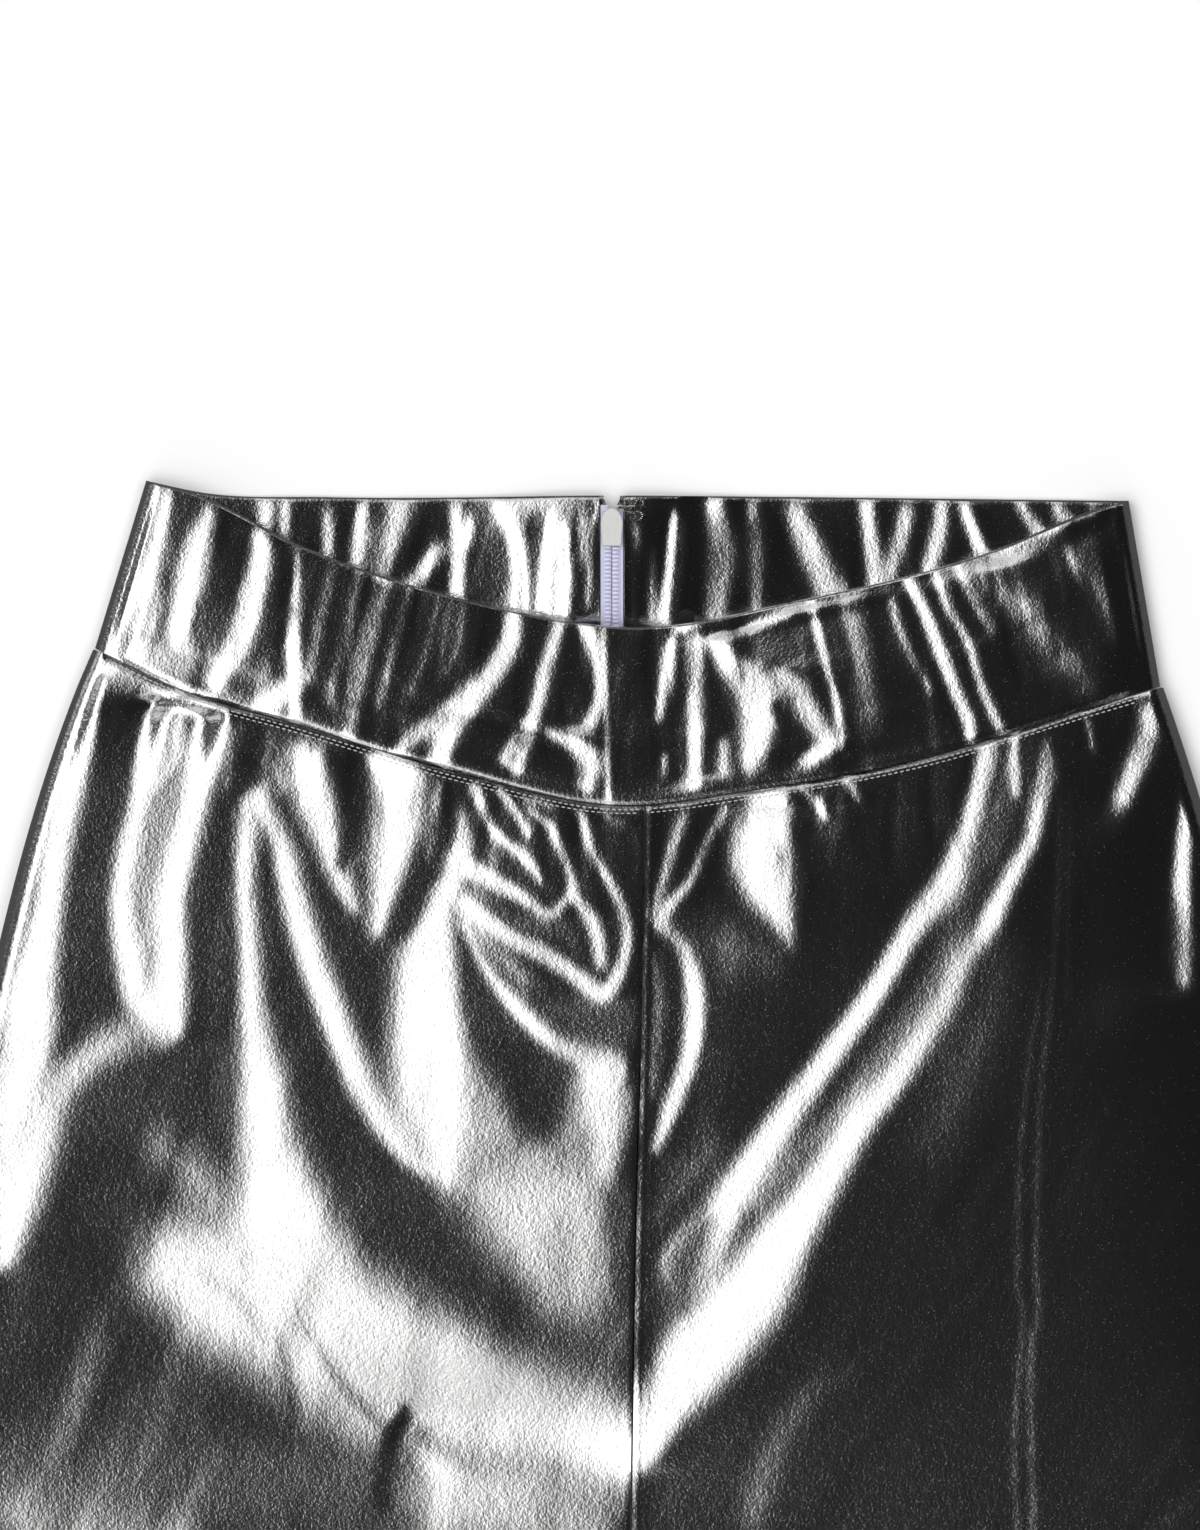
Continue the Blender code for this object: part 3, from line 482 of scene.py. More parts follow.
HIP_FLANKS = (
    # Left side, from the fold inwards.
    Flank(BRIGHT, ((-176, 58, 2.2), (-181, 80, 4.2), (-184, 96, 4.8), (-187, 112, 4.5), (-189, 128, 4),
                   (-192, 144, 5.5), (-195, 160, 7.5), (-196, 176, 9.5), (-196, 192, 11), (-198, 208, 10.5),
                   (-201, 224, 8), (-203, 243, 3.5))),
    Flank(0.055, ((-147, 76, 5), (-152, 96, 5), (-157, 112, 5), (-157, 128, 5.5), (-155, 144, 6.5),
                  (-153, 160, 6.5))),
    Flank(BRIGHT, ((-154, 66, 1.6), (-157, 80, 2.8), (-160, 96, 3), (-164, 112, 3.2), (-166, 128, 3.2),
                   (-164, 144, 4), (-160, 160, 4.5), (-152, 170, 4))),
    Flank(BRIGHT, ((-136, 70, 3), (-138, 80, 4.5), (-142, 96, 4.5), (-147, 112, 4.8), (-150, 128, 4.2),
                   (-150, 144, 4.5), (-150, 160, 4.5), (-148, 169, 2.5))),
    Flank(0.13, ((-157, 170, 4), (-170, 174, 5.5), (-180, 181, 5), (-189, 189, 4)), 6.0),
    Flank(BRIGHT, ((-154, 65, 1.4), (-144, 66, 1.6), (-134, 69, 1.8)), 2.0),
    # The large soft light of the left hip and the two dark valleys in it.
    Flank(BRIGHT, ((-125, 98, 3.5), (-126, 112, 3), (-126, 128, 2.6), (-125, 144, 2.8), (-124, 160, 3.6),
                   (-123, 176, 5), (-121, 192, 7.5), (-119, 208, 9.5), (-116, 222, 13),
                   (-112, 240, 16)), 4.0, 7.0),
    Flank(BRIGHT, ((-122, 96, 3), (-116, 106, 3.2), (-113, 118, 3.6), (-109, 134, 4), (-105, 147, 4.2),
                   (-100, 160, 4.4), (-94, 176, 4.4), (-88, 189, 4.5), (-80, 202, 4), (-72, 211, 3.2),
                   (-62, 214, 3)), 3.0, 6.0),
    Flank(BRIGHT, ((-108, 86, 6), (-104, 96, 7), (-99, 108, 5), (-96, 120, 3.6), (-92, 130, 1.6)), 4.0, 5.0),
    Flank(BRIGHT, ((-82, 84, 5), (-77, 92, 9), (-77, 106, 9), (-79, 118, 7), (-82, 128, 4.4),
                   (-84, 137, 2.6)),
          6.0, 3.0),
    Flank(-0.06, ((-92, 80, 2.4), (-91, 92, 3.6), (-92, 106, 3.6), (-95, 116, 2.4)), 4.0),
    Flank(BRIGHT, ((-66, 126, 4.4), (-68, 146, 9.5), (-68, 167, 10.5), (-67, 182, 13), (-64, 195, 14),
                   (-61, 206, 11)), 5.0, 3.0),
    Flank(BRIGHT, ((-57, 101, 3), (-57.5, 110, 3.4), (-60, 116, 4), (-63, 125, 4.4), (-67, 133, 4)), 3.0),
    Flank(-0.05, ((-63, 90, 3), (-63, 98, 4.6), (-64, 105, 5), (-69, 118, 5.4), (-74.5, 132, 4.4),
                  (-78, 139, 3)), 3.4),
    Flank(0.11, ((-40, 194, 15), (-36, 210, 23), (-30, 228, 22), (-22, 246, 14)), 12.0, round=0.3),
    Flank(GREY, ((-114, 84, 4), (-113, 92, 4)), 5.0),
    Flank(BRIGHT, ((-13, 182, 7), (-12, 192, 9), (-11, 202, 6), (-12, 214, 3.5)), 4.0),
    # The curled folds beside the centre seam, drawn from the outer ones inwards.
    Flank(BRIGHT, ((-56, 136, 1.6), (-52, 146, 2), (-44, 157, 2.4), (-36, 166, 2.6), (-28, 174, 3),
                   (-15, 178, 3.2), (-4, 181, 3)), 2.6, 4.0),
    Flank(-0.05, ((-57, 139, 0.8), (-55, 146, 2), (-52, 157, 3.6), (-48, 166, 5), (-44, 174, 7),
                  (-36, 186, 9), (-33, 198, 7)), 4.0, 3.0),
    Flank(GREY, ((-51, 139, 2), (-42, 148, 2.6), (-34, 157, 3.2)), 3.0),
    Flank(-0.06, ((-33, 158, 3), (-22, 165, 5), (-10, 167, 6), (-2, 164, 3.6)), 4.0),
    Flank(-0.08, ((-7.5, 111, 5), (-4, 124, 3.4), (-2.4, 140, 1.6), (-2.2, 186, 1.4)), 1.8),
    Flank(BRIGHT, ((-55, 130, 3.4), (-48, 135, 3.4), (-40, 141, 3), (-31, 145, 3), (-23, 150, 3),
                   (-17, 155, 3.2), (-12, 157, 3), (-8, 154, 2.4), (-5, 146, 2), (-4, 138, 1.8),
                   (-6, 130, 1.8), (-10, 122, 1.8), (-15, 114, 1.8), (-17.6, 106, 2.2),
                   (-20, 101, 1.8)), 1.8),
    Flank(-0.08, ((-23, 101, 1.8), (-21, 110, 3), (-17, 120, 3.2), (-12, 130, 2.8), (-9.4, 139, 1.8),
                  (-9.6, 146, 1.2)), 1.6),
    Flank(BRIGHT, ((-21, 128, 2), (-16.6, 132, 2.4), (-13.8, 139, 2.4), (-12.7, 148, 2.2)), 2.0),
    Flank(0.0, ((-55, 125, 1.4), (-47, 129, 2.4), (-39, 134.4, 3), (-29, 136.5, 3), (-23, 139, 2.6),
                (-18.7, 147.6, 1.6)), 2.0),
    Flank(BRIGHT, ((-55, 118, 3), (-48.5, 121, 2.8), (-40, 125.4, 2.4), (-33, 130.6, 2), (-28, 131.6, 2),
                   (-23.5, 128, 2), (-22, 124, 1.9), (-24, 116, 1.5), (-27, 108, 1.6), (-29, 104, 1.7),
                   (-34.6, 99.7, 0.8), (-38, 94, 0.8)), 1.6),
    Flank(-0.08, ((-33, 106.6, 1.4), (-30.4, 113, 2.8), (-27.7, 120, 2.8), (-26, 125, 1.6)), 1.6),
    Flank(-0.04, ((-53.4, 99, 2), (-50.6, 106.6, 2.2), (-44, 113.6, 2.6), (-36, 121, 2.4),
                  (-29, 126, 1.8)), 1.8),
    Flank(BRIGHT, ((-52.7, 92.8, 2.4), (-49.2, 99.7, 1.8), (-46.4, 106, 1.8), (-40.2, 111.5, 1.8),
                   (-34.6, 117, 1.4), (-31.8, 122, 1)), 1.6),
    Flank(-0.08, ((-47.5, 94.8, 1.4), (-46, 101.8, 1.7), (-40.2, 107.3, 1.5)), 1.4),
    Flank(BRIGHT, ((-45, 92.8, 1.6), (-40.2, 99, 1.6), (-36, 106, 1.4)), 1.4),
    Flank(0.16, ((-35.3, 95.5, 1.2), (-31, 97, 1.5), (-27.7, 98, 1.2)), 1.4),
    Flank(0.16, ((-12, 100, 1.4), (-9.6, 102, 1.3), (-4.8, 103.5, 1)), 1.4),
    Flank(0.16, ((-22, 99, 1.2), (-18, 101.5, 1.4)), 1.4),
    # The wide light of the left thigh.
    Flank(BRIGHT, ((-148, 246, 14), (-119, 257, 22), (-91, 271, 23), (-62, 282, 17), (-28, 290, 12),
                   (-5, 294, 11)), 12.0, 12.0, round=0.45),
    Flank(-0.09, ((-106, 266, 1), (-96, 282, 1.4), (-82, 297, 1.2)), 3.0, 5.0, adds=True),
    Flank(-0.07, ((-116, 268, 0.8), (-113, 280, 1.2), (-111, 291, 1)), 3.0, 4.0, adds=True),
    Flank(-0.06, ((-140, 248, 1), (-128, 256, 1.4), (-121, 268, 1)), 3.0, 5.0, adds=True),
    Flank(-0.12, ((-75, 292, 1.4), (-80, 302, 2.6), (-83, 320, 3)), 2.4),
    Flank(GREY, ((-70, 300, 3), (-66, 308, 4), (-60, 312, 2)), 3.0),
    Flank(FAINT, ((-152, 208, 6), (-142, 216, 7), (-136, 224, 5)), 9.0),
    Flank(FAINT, ((-60, 322, 12), (-35, 326, 10), (-16, 330, 8)), 12.0),
    Flank(FAINT, ((-200, 325, 6), (-190, 330, 8), (-150, 334, 8)), 10.0),
    # Right of the centre seam.
    Flank(0.15, ((14, 101, 2.2), (10, 112, 2.2), (6, 126, 1.8), (4, 132, 1.6)), 2.0),
    Flank(BRIGHT, ((27, 99, 1.6), (21, 110, 1.8), (16, 122, 1.8), (9, 130, 2.4), (6, 136, 2.6)), 2.0),
    Flank(BRIGHT, ((8, 137, 2), (14, 142, 2.6), (17, 153, 3), (17.5, 166, 3), (15.5, 179, 3),
                   (10.5, 192, 3), (5, 207, 1.8)), 2.6),
    Flank(0.11, ((5, 147, 1.5), (6, 160, 1.7), (5, 175, 1.6), (4, 190, 1.4)), 2.0),
    Flank(0.19, ((42, 95, 6), (39, 104, 8.5), (38, 114, 10), (41, 124, 8.5), (45, 134, 4.6),
                 (48, 143, 1.6)), 3.0),
    Flank(FAINT, ((16, 138, 5), (28, 142, 9), (42, 146, 6)), 9.0),
    Flank(0.19, ((52, 92, 1.6), (56, 97, 2.2), (59, 101, 1.2)), 1.6),
    Flank(0.19, ((66, 89, 1.6), (68, 93, 1.8), (70, 96, 1)), 1.6),
    # The long diagonal with its two bright lines.
    Flank(GREY, ((117, 82, 8), (116, 94, 8), (113, 108, 7)), 6.0),
    Flank(0.1, ((110, 112, 5), (102, 134, 5), (93, 154, 4.5), (84, 168, 4.5), (72, 184, 4.5),
                (60, 198, 4), (49, 210, 4), (38, 224, 4)), 5.0),
    Flank(0.2, ((111, 80, 3), (107, 96, 3.2), (102, 112, 3.6), (97, 124, 5.5), (88, 135, 4.6),
                (81, 147, 4), (73, 160, 4), (63, 174, 4.2), (52, 189, 4.6), (43, 202, 5.2),
                (34, 215, 6), (24, 230, 7), (16, 246, 8)), 3.0),
    Flank(0.2, ((130, 82, 1.8), (128, 96, 2.4), (125, 109, 2.8), (120, 118, 3.4), (115, 128, 3.6),
                (110, 138, 3.8), (102, 150, 4), (98, 160, 4.2), (88, 176, 4.6), (78, 189, 5),
                (70, 198, 5.5), (62, 211, 6), (54, 224, 7), (45, 237, 9), (36, 252, 12),
                (24, 266, 13), (16, 278, 11), (6, 294, 6), (1, 307, 3)), 3.4),
    Flank(0.2, ((120, 74, 1.2), (120, 84, 1.8), (120, 94, 1.4)), 1.8),
    Flank(0.14, ((130, 78, 1.8), (131, 88, 2), (129, 96, 1.4)), 2.2),
    Flank(FAINT, ((22, 208, 6), (12, 220, 6), (6, 226, 3)), 8.0),
    Flank(0.12, ((14, 236, 3), (11, 242, 3.4), (10, 248, 2.4)), 3.0),
    # Near the right side.
    Flank(0.2, ((163, 68, 4), (163, 75, 5), (158, 86, 4.6), (154, 96, 4), (150, 105, 2)), 3.0),
    Flank(0.16, ((143, 70, 1.4), (145, 80, 1.2)), 1.8),
    Flank(0.045, ((150, 104, 4), (140, 116, 6), (134, 128, 5)), 8.0),
    Flank(0.21, ((175, 94, 2.4), (174, 112, 4.4), (173, 128, 5.4), (172.5, 144, 5.8), (174, 154, 4)), 3.6),
    Flank(0.12, ((134.4, 86, 0.8), (133.4, 128, 0.8), (130.8, 160, 0.9), (127.4, 192, 0.9), (126.2, 240, 0.9),
                 (127, 259, 1.1), (124.6, 275, 1.1), (125.8, 332, 0.9)), 1.3, adds=True),
    Flank(0.12, ((128.4, 150, 0.6), (124.0, 180, 0.8), (121.0, 210, 0.8), (120.4, 250, 0.8), (122, 262, 0.8),
                 (119.6, 300, 0.8), (120.8, 332, 0.6)), 1.2, adds=True),
    Flank(0.12, ((137.6, 92, 0.6), (136.8, 128, 0.6), (136, 160, 0.6)), 1.1, adds=True),
    Flank(0.12, ((164, 90, 0.6), (166, 104, 0.8), (167, 118, 0.6)), 1.2, adds=True),
    Flank(0.05, ((66, 278, 3), (52, 288, 4), (42, 306, 4), (36, 324, 4)), 7.0),
    Flank(0.04, ((114, 150, 8), (107, 170, 9), (98, 190, 9), (90, 205, 6)), 10.0),
    Flank(0.04, ((150, 124, 8), (160, 140, 9), (150, 160, 8)), 10.0),
    Flank(0.05, ((20, 232, 4), (15, 244, 5), (13, 256, 4)), 7.0),
)

BAND_FLANKS = (
    Flank(0.222, ((-154, -1, 2.4), (-158, 16, 5), (-164, 32, 5), (-168, 45, 3))),
    Flank(0.178, ((-137, 4, 2.4), (-141, 16, 4.4), (-145, 32, 3.6), (-148, 45, 1.4))),
    Flank(0.222, ((-121, 10, 2.6), (-121, 20, 3.8), (-124, 32, 4), (-128, 45, 3.6), (-135, 59, 2.4)), 2.4),
    Flank(0.222, ((-110, 13, 1.4), (-110, 26, 1.5), (-111, 42, 2.2), (-110, 58, 2), (-110, 69, 1.4)), 2.0),
    Flank(0.207, ((-111, 60, 3), (-117, 64, 3.4), (-121, 67, 1.8)), 2.4),
    Flank(0.07, ((-98, 19, 1.4), (-102, 38, 1.6), (-106, 58, 1.6)), 2.4),
    Flank(0.075, ((-89, 22, 1.4), (-94, 45, 1.6), (-99, 64, 2)), 2.4),
    Flank(0.085, ((-80, 24, 1.4), (-84, 38, 1.8), (-89, 58, 2), (-93, 75, 2)), 2.4),
    Flank(0.07, ((-84, 24, 0.8), (-88, 42, 1.1), (-94, 66, 1)), 1.6),
    Flank(0.08, ((-73, 28, 1), (-78, 46, 1.4), (-84, 66, 1.4)), 1.8),
    Flank(0.07, ((-64, 32, 0.9), (-68, 48, 1.2), (-73, 62, 1.2)), 1.8),
    Flank(0.06, ((-56, 34, 0.8), (-58, 46, 1), (-62, 56, 1)), 1.6),
    Flank(0.207, ((-91, 20, 1.6), (-84, 23, 2)), 2.0),
    Flank(0.237, ((-40, 34, 2.4), (-41, 45, 3.4), (-46, 54, 4), (-54, 64, 4.4), (-61, 74, 4.2),
                  (-64, 82, 3)), 2.4),
    Flank(0.192, ((-59, 66, 2.6), (-69, 74, 3.2), (-77, 80, 1.6)), 2.4),
    Flank(0.222, ((-25, 38, 2.2), (-29, 51, 2.6), (-32, 64, 2.6), (-36, 77, 2.2), (-39, 86, 2)), 2.2),
    Flank(0.192, ((-37, 72, 2), (-43, 83, 2.4)), 2.2),
    Flank(0.222, ((-19, 38, 1.6), (-16, 42, 2.2), (-13.5, 52, 1.6), (-13, 64, 1.6), (-16, 72, 2.4)), 2.0),
    Flank(0.192, ((-29, 75, 2.2), (-21, 77, 3.4), (-16, 84, 4), (-17, 91, 2.8)), 2.4),
    Flank(0.259, ((-11.4, 41, 0.7), (-10.5, 64, 0.7), (-9.8, 97, 0.7)), 1.0),
    Flank(0.237, ((13.5, 41, 1.6), (17, 42, 2.2), (18, 58, 2.8), (18, 74, 2.8), (17.5, 90, 2.6)), 2.0),
    Flank(0.148, ((10, 45, 1.4), (8, 58, 2), (6, 70, 1.4)), 2.0),
    Flank(0.192, ((8, 82, 1.2), (8, 88, 1)), 1.6),
    Flank(0.237, ((23, 45, 2), (30, 53, 5), (38, 62, 8), (38, 74, 6), (36, 83, 4.4)), 2.6),
    Flank(0.2, ((33, 41, 1.5), (40, 39, 1.6), (48, 37, 1.2)), 1.8),
    Flank(0.222, ((46, 56, 3), (51, 61, 4), (56, 71, 4.2), (60, 78, 3.4), (54, 83, 2.6)), 2.4),
    Flank(-0.1, ((44, 66, 1.4), (49, 77, 1.6)), 2.0),
    Flank(0.192, ((27, 78, 2.2), (27, 86, 2.6)), 2.4),
    Flank(0.222, ((55, 32, 1.4), (58, 45, 1.4), (62, 61, 1.6), (65, 74, 1.6), (64, 80, 1.2)), 1.8),
    Flank(0.1, ((66, 34, 4), (70, 52, 4.6), (73, 70, 4)), 6.0),
    Flank(0.17, ((81, 32, 1.2), (85, 45, 1.3), (93, 61, 1.2)), 1.8),
    Flank(0.252, ((85, 24, 1.6), (91, 35, 2.2), (96, 48, 2.4), (101, 61, 2.6), (105, 70, 2.4),
                  (106, 77, 1.4)), 1.8),
    Flank(0.252, ((95, 24, 1.4), (99, 35, 1.4), (105, 45, 1.6), (110, 61, 1.8), (116, 74, 2)), 1.8),
    Flank(0.207, ((102, 21, 1.8), (107, 32, 1.6), (113, 42, 1.4)), 2.0),
    Flank(0.22, ((112, 27, 4), (125, 36, 7), (135, 48, 7.5), (143, 58, 5)), 9.0),
    Flank(0.2, ((140, 20, 4), (148, 30, 5), (152, 42, 4)), 8.0),
    Flank(0.192, ((115, 16, 2.2), (125, 13, 3), (134, 10, 2.4)), 2.6),
    Flank(0.148, ((146, 3, 1.6), (150, 2, 1.4)), 1.8),
)

BACK_BAND_FLANKS = (
    Flank(0.252, ((-120, 2, 2.2), (-121, 12, 1.8), (-123, 30, 2))),
    Flank(0.252, ((-113.5, 1, 1.2), (-114, 14, 1.2), (-116, 34, 1.6)), 1.8),
    Flank(0.252, ((-100, 4, 1.8), (-100, 16, 1.8), (-102, 36, 2)), 2.0),
    Flank(0.252, ((-88.5, 2, 1.6), (-90, 14, 2.6), (-93, 36, 2)), 2.0),
    Flank(0.178, ((-77, 4, 5), (-80, 14, 5), (-86, 30, 3)), 4.0),
    Flank(0.252, ((-59, 3, 1.8), (-58, 16, 2.4), (-59, 34, 2.2)), 2.0),
    Flank(0.222, ((-64, 16, 2.6), (-70, 22, 3), (-78, 34, 3)), 2.6),
    Flank(0.237, ((-54, 6, 1.2), (-55, 14, 1.2)), 1.6),
    Flank(0.237, ((-45, 2, 1.2), (-40, 12, 1.8), (-38, 26, 2), (-38, 44, 2)), 1.8),
    Flank(0.237, ((-28, 6, 1.4), (-30, 22, 1.8), (-30.5, 34, 1.8), (-31, 46, 1.6)), 1.8),
    Flank(0.237, ((-24, 10, 1.4), (-24, 26, 2.4), (-25, 40, 2)), 1.8),
    Flank(0.222, ((-18, 6, 1), (-18, 20, 1)), 1.4),
    Flank(0.237, ((-14, 4, 1.1), (-15, 18, 1.4), (-16.5, 34, 1.2)), 1.6),
    Flank(0.3, ((-4.2, 5, 0.9), (-4, 16, 1.3), (-3.6, 28, 1.7), (-3.2, 42, 1.9)), 1.4),
    Flank(0.222, ((-1, 8, 1.2), (0, 16, 1.2)), 1.4),
    Flank(0.3, ((4.6, 15, 0.9), (4.2, 28, 1.5), (3.6, 44, 1.6)), 1.4),
    Flank(0.42, ((11.6, 3, 1.2), (10.6, 12, 2.2), (9.6, 24, 2.4), (8.4, 36, 2.4), (7.6, 46, 2)), 1.4),
    Flank(0.38, ((15, 5, 0.7), (14.4, 18, 0.9), (13.2, 32, 0.9), (12.2, 40, 0.7)), 1.2),
    Flank(0.252, ((24, 2, 4.5), (26, 16, 7), (25, 28, 6.4), (23, 42, 5)), 2.2),
    Flank(0.252, ((36, 2, 2.2), (37.5, 18, 3.1), (37, 34, 2.5), (37, 46, 2.2)), 1.8),
    Flank(0.222, ((50, 4, 3.6), (55, 16, 5), (61, 28, 5.6), (66, 42, 4.2)), 3.0),
    Flank(0.252, ((73, 2, 2.5), (75, 18, 3.4), (76, 34, 2.8)), 1.8),
    Flank(0.252, ((86, 4, 3.1), (84, 12, 3.4), (80, 26, 2.2)), 2.0),
    Flank(0.252, ((97, 2, 2.5), (96, 12, 3.6), (92, 24, 2.2)), 2.0),
    Flank(0.237, ((104, 2, 2), (107, 10, 2.5), (112, 20, 2.2)), 1.8),
    Flank(0.252, ((122, 1, 1.4), (126, 7, 2), (130, 14, 2)), 1.6),
    Flank(0.252, ((134, 2, 1.7), (137, 6, 2.2), (143, 12, 2)), 1.6),
    Flank(0.222, ((146, 2, 1.7), (150, 4, 1.7)), 1.6),
)


@dataclass(frozen=True)
class Wrinkles:
    """Small wrinkles between the main ones, strewn by a fixed seed.

    Attributes:
        seed: picks the strewing.
        count: how many.
        length: shortest and longest, in millimetres.
        half_width: narrowest and widest half.
        tilt: gentlest and steepest slope that they add.
    """

    seed: int
    count: int
    length: tuple
    half_width: tuple
    tilt: tuple

    def strew(self, start: Callable, lean: Callable) -> list:
        """The wrinkles as flanks.

        Args:
            start: gives a starting place from two numbers between 0 and 1.
            lean: gives how far across a wrinkle runs for each millimetre down, at a place.
        Returns:
            The flanks.
        """
        dice = np.random.RandomState(self.seed)
        made = []
        for _ in range(self.count):
            x, y = start(*dice.random_sample(2))
            pick = dice.random_sample(5)
            length, half, tilt = (low + (high - low) * k for (low, high), k in zip(
                (self.length, self.half_width, self.tilt), pick))
            way = lean(x, y) + 0.3 * (pick[3] - 0.5)
            bend = 0.12 * length * (pick[4] - 0.5)
            places = ((x, y, 0.5 * half), (x + 0.5 * way * length + bend, y + 0.5 * length, half),
                      (x + way * length, y + length, 0.4 * half))
            sign = 1 if dice.random_sample() < 0.5 else -1
            made.append(Flank(sign * tilt, places, 1.2 * half, 1.8 * half, True))
        return made


def under_band(u: float, v: float) -> tuple:
    """A place just under the band's seam."""
    across = -172 + 334 * u
    return across, float(PATTERN.front_seam(across)) + 2 + 5 * v * v


def on_hips(u: float, v: float) -> tuple:
    """A place anywhere on the hips and thighs."""
    return -205 + 395 * u, 80 + 245 * v


def on_band(u: float, v: float) -> tuple:
    """A place on the front band, mostly near its edges."""
    across = -160 + 315 * u
    top, foot = float(PATTERN.front_top(across)), float(PATTERN.front_seam(across))
    return across, top + 1 if v < 0.4 else foot - 60 * (v - 0.4) - 8


def on_back_band(u: float, v: float) -> tuple:
    """A place on the back band's inner face."""
    return -150 + 302 * u, 1 + 30 * v * v


def hang(across: float, down: float) -> float:
    """How the cloth hangs: towards the sides from the waist, and inwards lower down."""
    fan = 0.0022 * (across + 9)
    return fan if across < 0 else -0.5 * fan - 0.55 * min(max((down - 110) / 120, 0), 1)


def band_lean(across: float, _down: float) -> float:
    """How the gathers lean, with the band's slanted ends."""
    return 0.0022 * (across + 9)


LEG_FOLDS = (
    # Left leg: drags from the crotch, the knee's cross folds, the shin and the ankle.
    Fold(-8, 352, -92, 470, 9, 2.0, 10),
    Fold(-14, 380, -70, 520, 7, 1.5, 8),
    Fold(-30, 350, -150, 430, 12, 1.8, -12),
    Fold(-212, 372, -120, 462, 14, 2.0, 14),
    Fold(-206, 430, -140, 540, 9, 1.6, 9),
    Fold(-150, 380, -128, 560, 16, 1.6, 10),
    Fold(-198, 520, -96, 580, 9, 2.0, -10),
    Fold(-196, 566, -112, 604, 6, 1.4, -7),
    Fold(-192, 606, -88, 640, 9, 2.1, -8),
    Fold(-190, 650, -120, 662, 6, 1.3, 6),
    Fold(-26, 534, -100, 588, 8, 1.7, 9),
    Fold(-30, 580, -94, 616, 6, 1.5, 7),
    Fold(-34, 626, -110, 668, 8, 1.8, 8),
    Fold(-36, 676, -92, 704, 6, 1.2, 6),
    Fold(-124, 650, -132, 860, 13, 1.8, 12),
    Fold(-78, 690, -84, 880, 10, 1.3, -8),
    Fold(-180, 700, -138, 772, 8, 1.3, -7),
    Fold(-44, 760, -92, 820, 7, 1.1, 6),
    Fold(-166, 842, -96, 870, 6, 1.3, -6),
    Fold(-52, 880, -112, 904, 6, 1.2, 6),
    Fold(-160, 900, -100, 926, 5, 1.2, -5),
    Fold(-56, 926, -104, 944, 5, 1.0, 4),
    Fold(-156, 944, -112, 958, 4, 0.9, -3),
    # Right leg.
    Fold(6, 352, 84, 480, 9, 2.0, -10),
    Fold(10, 392, 60, 500, 6, 1.4, -7),
    Fold(24, 352, 132, 418, 11, 1.7, 10),
    Fold(200, 380, 116, 486, 13, 2.0, -14),
    Fold(196, 446, 150, 530, 8, 1.5, -8),
    Fold(128, 392, 110, 580, 15, 1.5, -10),
    Fold(188, 528, 92, 574, 9, 1.9, 9),
    Fold(186, 584, 104, 616, 7, 1.7, 8),
    Fold(182, 624, 96, 650, 8, 1.9, 7),
    Fold(178, 664, 128, 676, 5, 1.2, -5),
    Fold(20, 540, 88, 600, 8, 1.8, -9),
    Fold(28, 596, 84, 626, 6, 1.4, -6),
    Fold(30, 640, 104, 684, 8, 1.7, -8),
    Fold(112, 660, 122, 850, 12, 1.7, -10),
    Fold(72, 700, 76, 900, 10, 1.3, 8),
    Fold(170, 716, 126, 790, 8, 1.2, 7),
    Fold(38, 740, 84, 792, 6, 1.1, -6),
    Fold(162, 836, 92, 858, 6, 1.3, 6),
    Fold(48, 866, 106, 898, 6, 1.3, -6),
    Fold(154, 892, 94, 920, 5, 1.2, 5),
    Fold(52, 918, 100, 938, 5, 1.0, -4),
    Fold(150, 938, 108, 956, 4, 0.9, 3),
)


# ---------------------------------------------------------------- meshes


def new_object(name: str, verts: Array, faces: list,
               smooth_angle: Optional[float] = None) -> bpy.types.Object:
    """A mesh object in the scene, shaded smooth.

    Args:
        name: the piece's name.
        verts: points in metres.
        faces: lists of point numbers.
        smooth_angle: edges sharper than this many degrees stay sharp.
    Returns:
        The new object.
    """
    mesh = bpy.data.meshes.new(name)
    mesh.from_pydata(np.asarray(verts).tolist(), [], faces)
    mesh.validate()
    mesh.shade_smooth()
    if smooth_angle is not None:
        mesh.set_sharp_from_angle(angle=math.radians(smooth_angle))
    thing = bpy.data.objects.new(name, mesh)
    bpy.context.scene.collection.objects.link(thing)
    return thing


def grid_normals(grid: Array) -> Array:
    """Unit normals of a grid of points."""
    normal = np.cross(np.gradient(grid, axis=1), np.gradient(grid, axis=0))
    return normal / np.maximum(np.linalg.norm(normal, axis=2, keepdims=True), 1e-12)


def rim(outer: Array, inner: Array) -> list:
    """Faces between an outer edge and an inner one with half as many points.

    Args:
        outer: the outer edge's point numbers.
        inner: every other one of them on the inner face.
    Returns:
        Triangles.
    """
    faces = []
    for k in range(len(inner) - 1):
        a, b, c = outer[2 * k: 2 * k + 3]
        faces += [(a, inner[k], b), (b, inner[k], inner[k + 1]), (b, inner[k + 1], c)]
    return faces


def quads(number: Array) -> Array:
    """The faces of a grid of point numbers."""
    corners = number[:-1, :-1], number[:-1, 1:], number[1:, 1:], number[1:, :-1]
    return np.stack([c.ravel() for c in corners], axis=1)


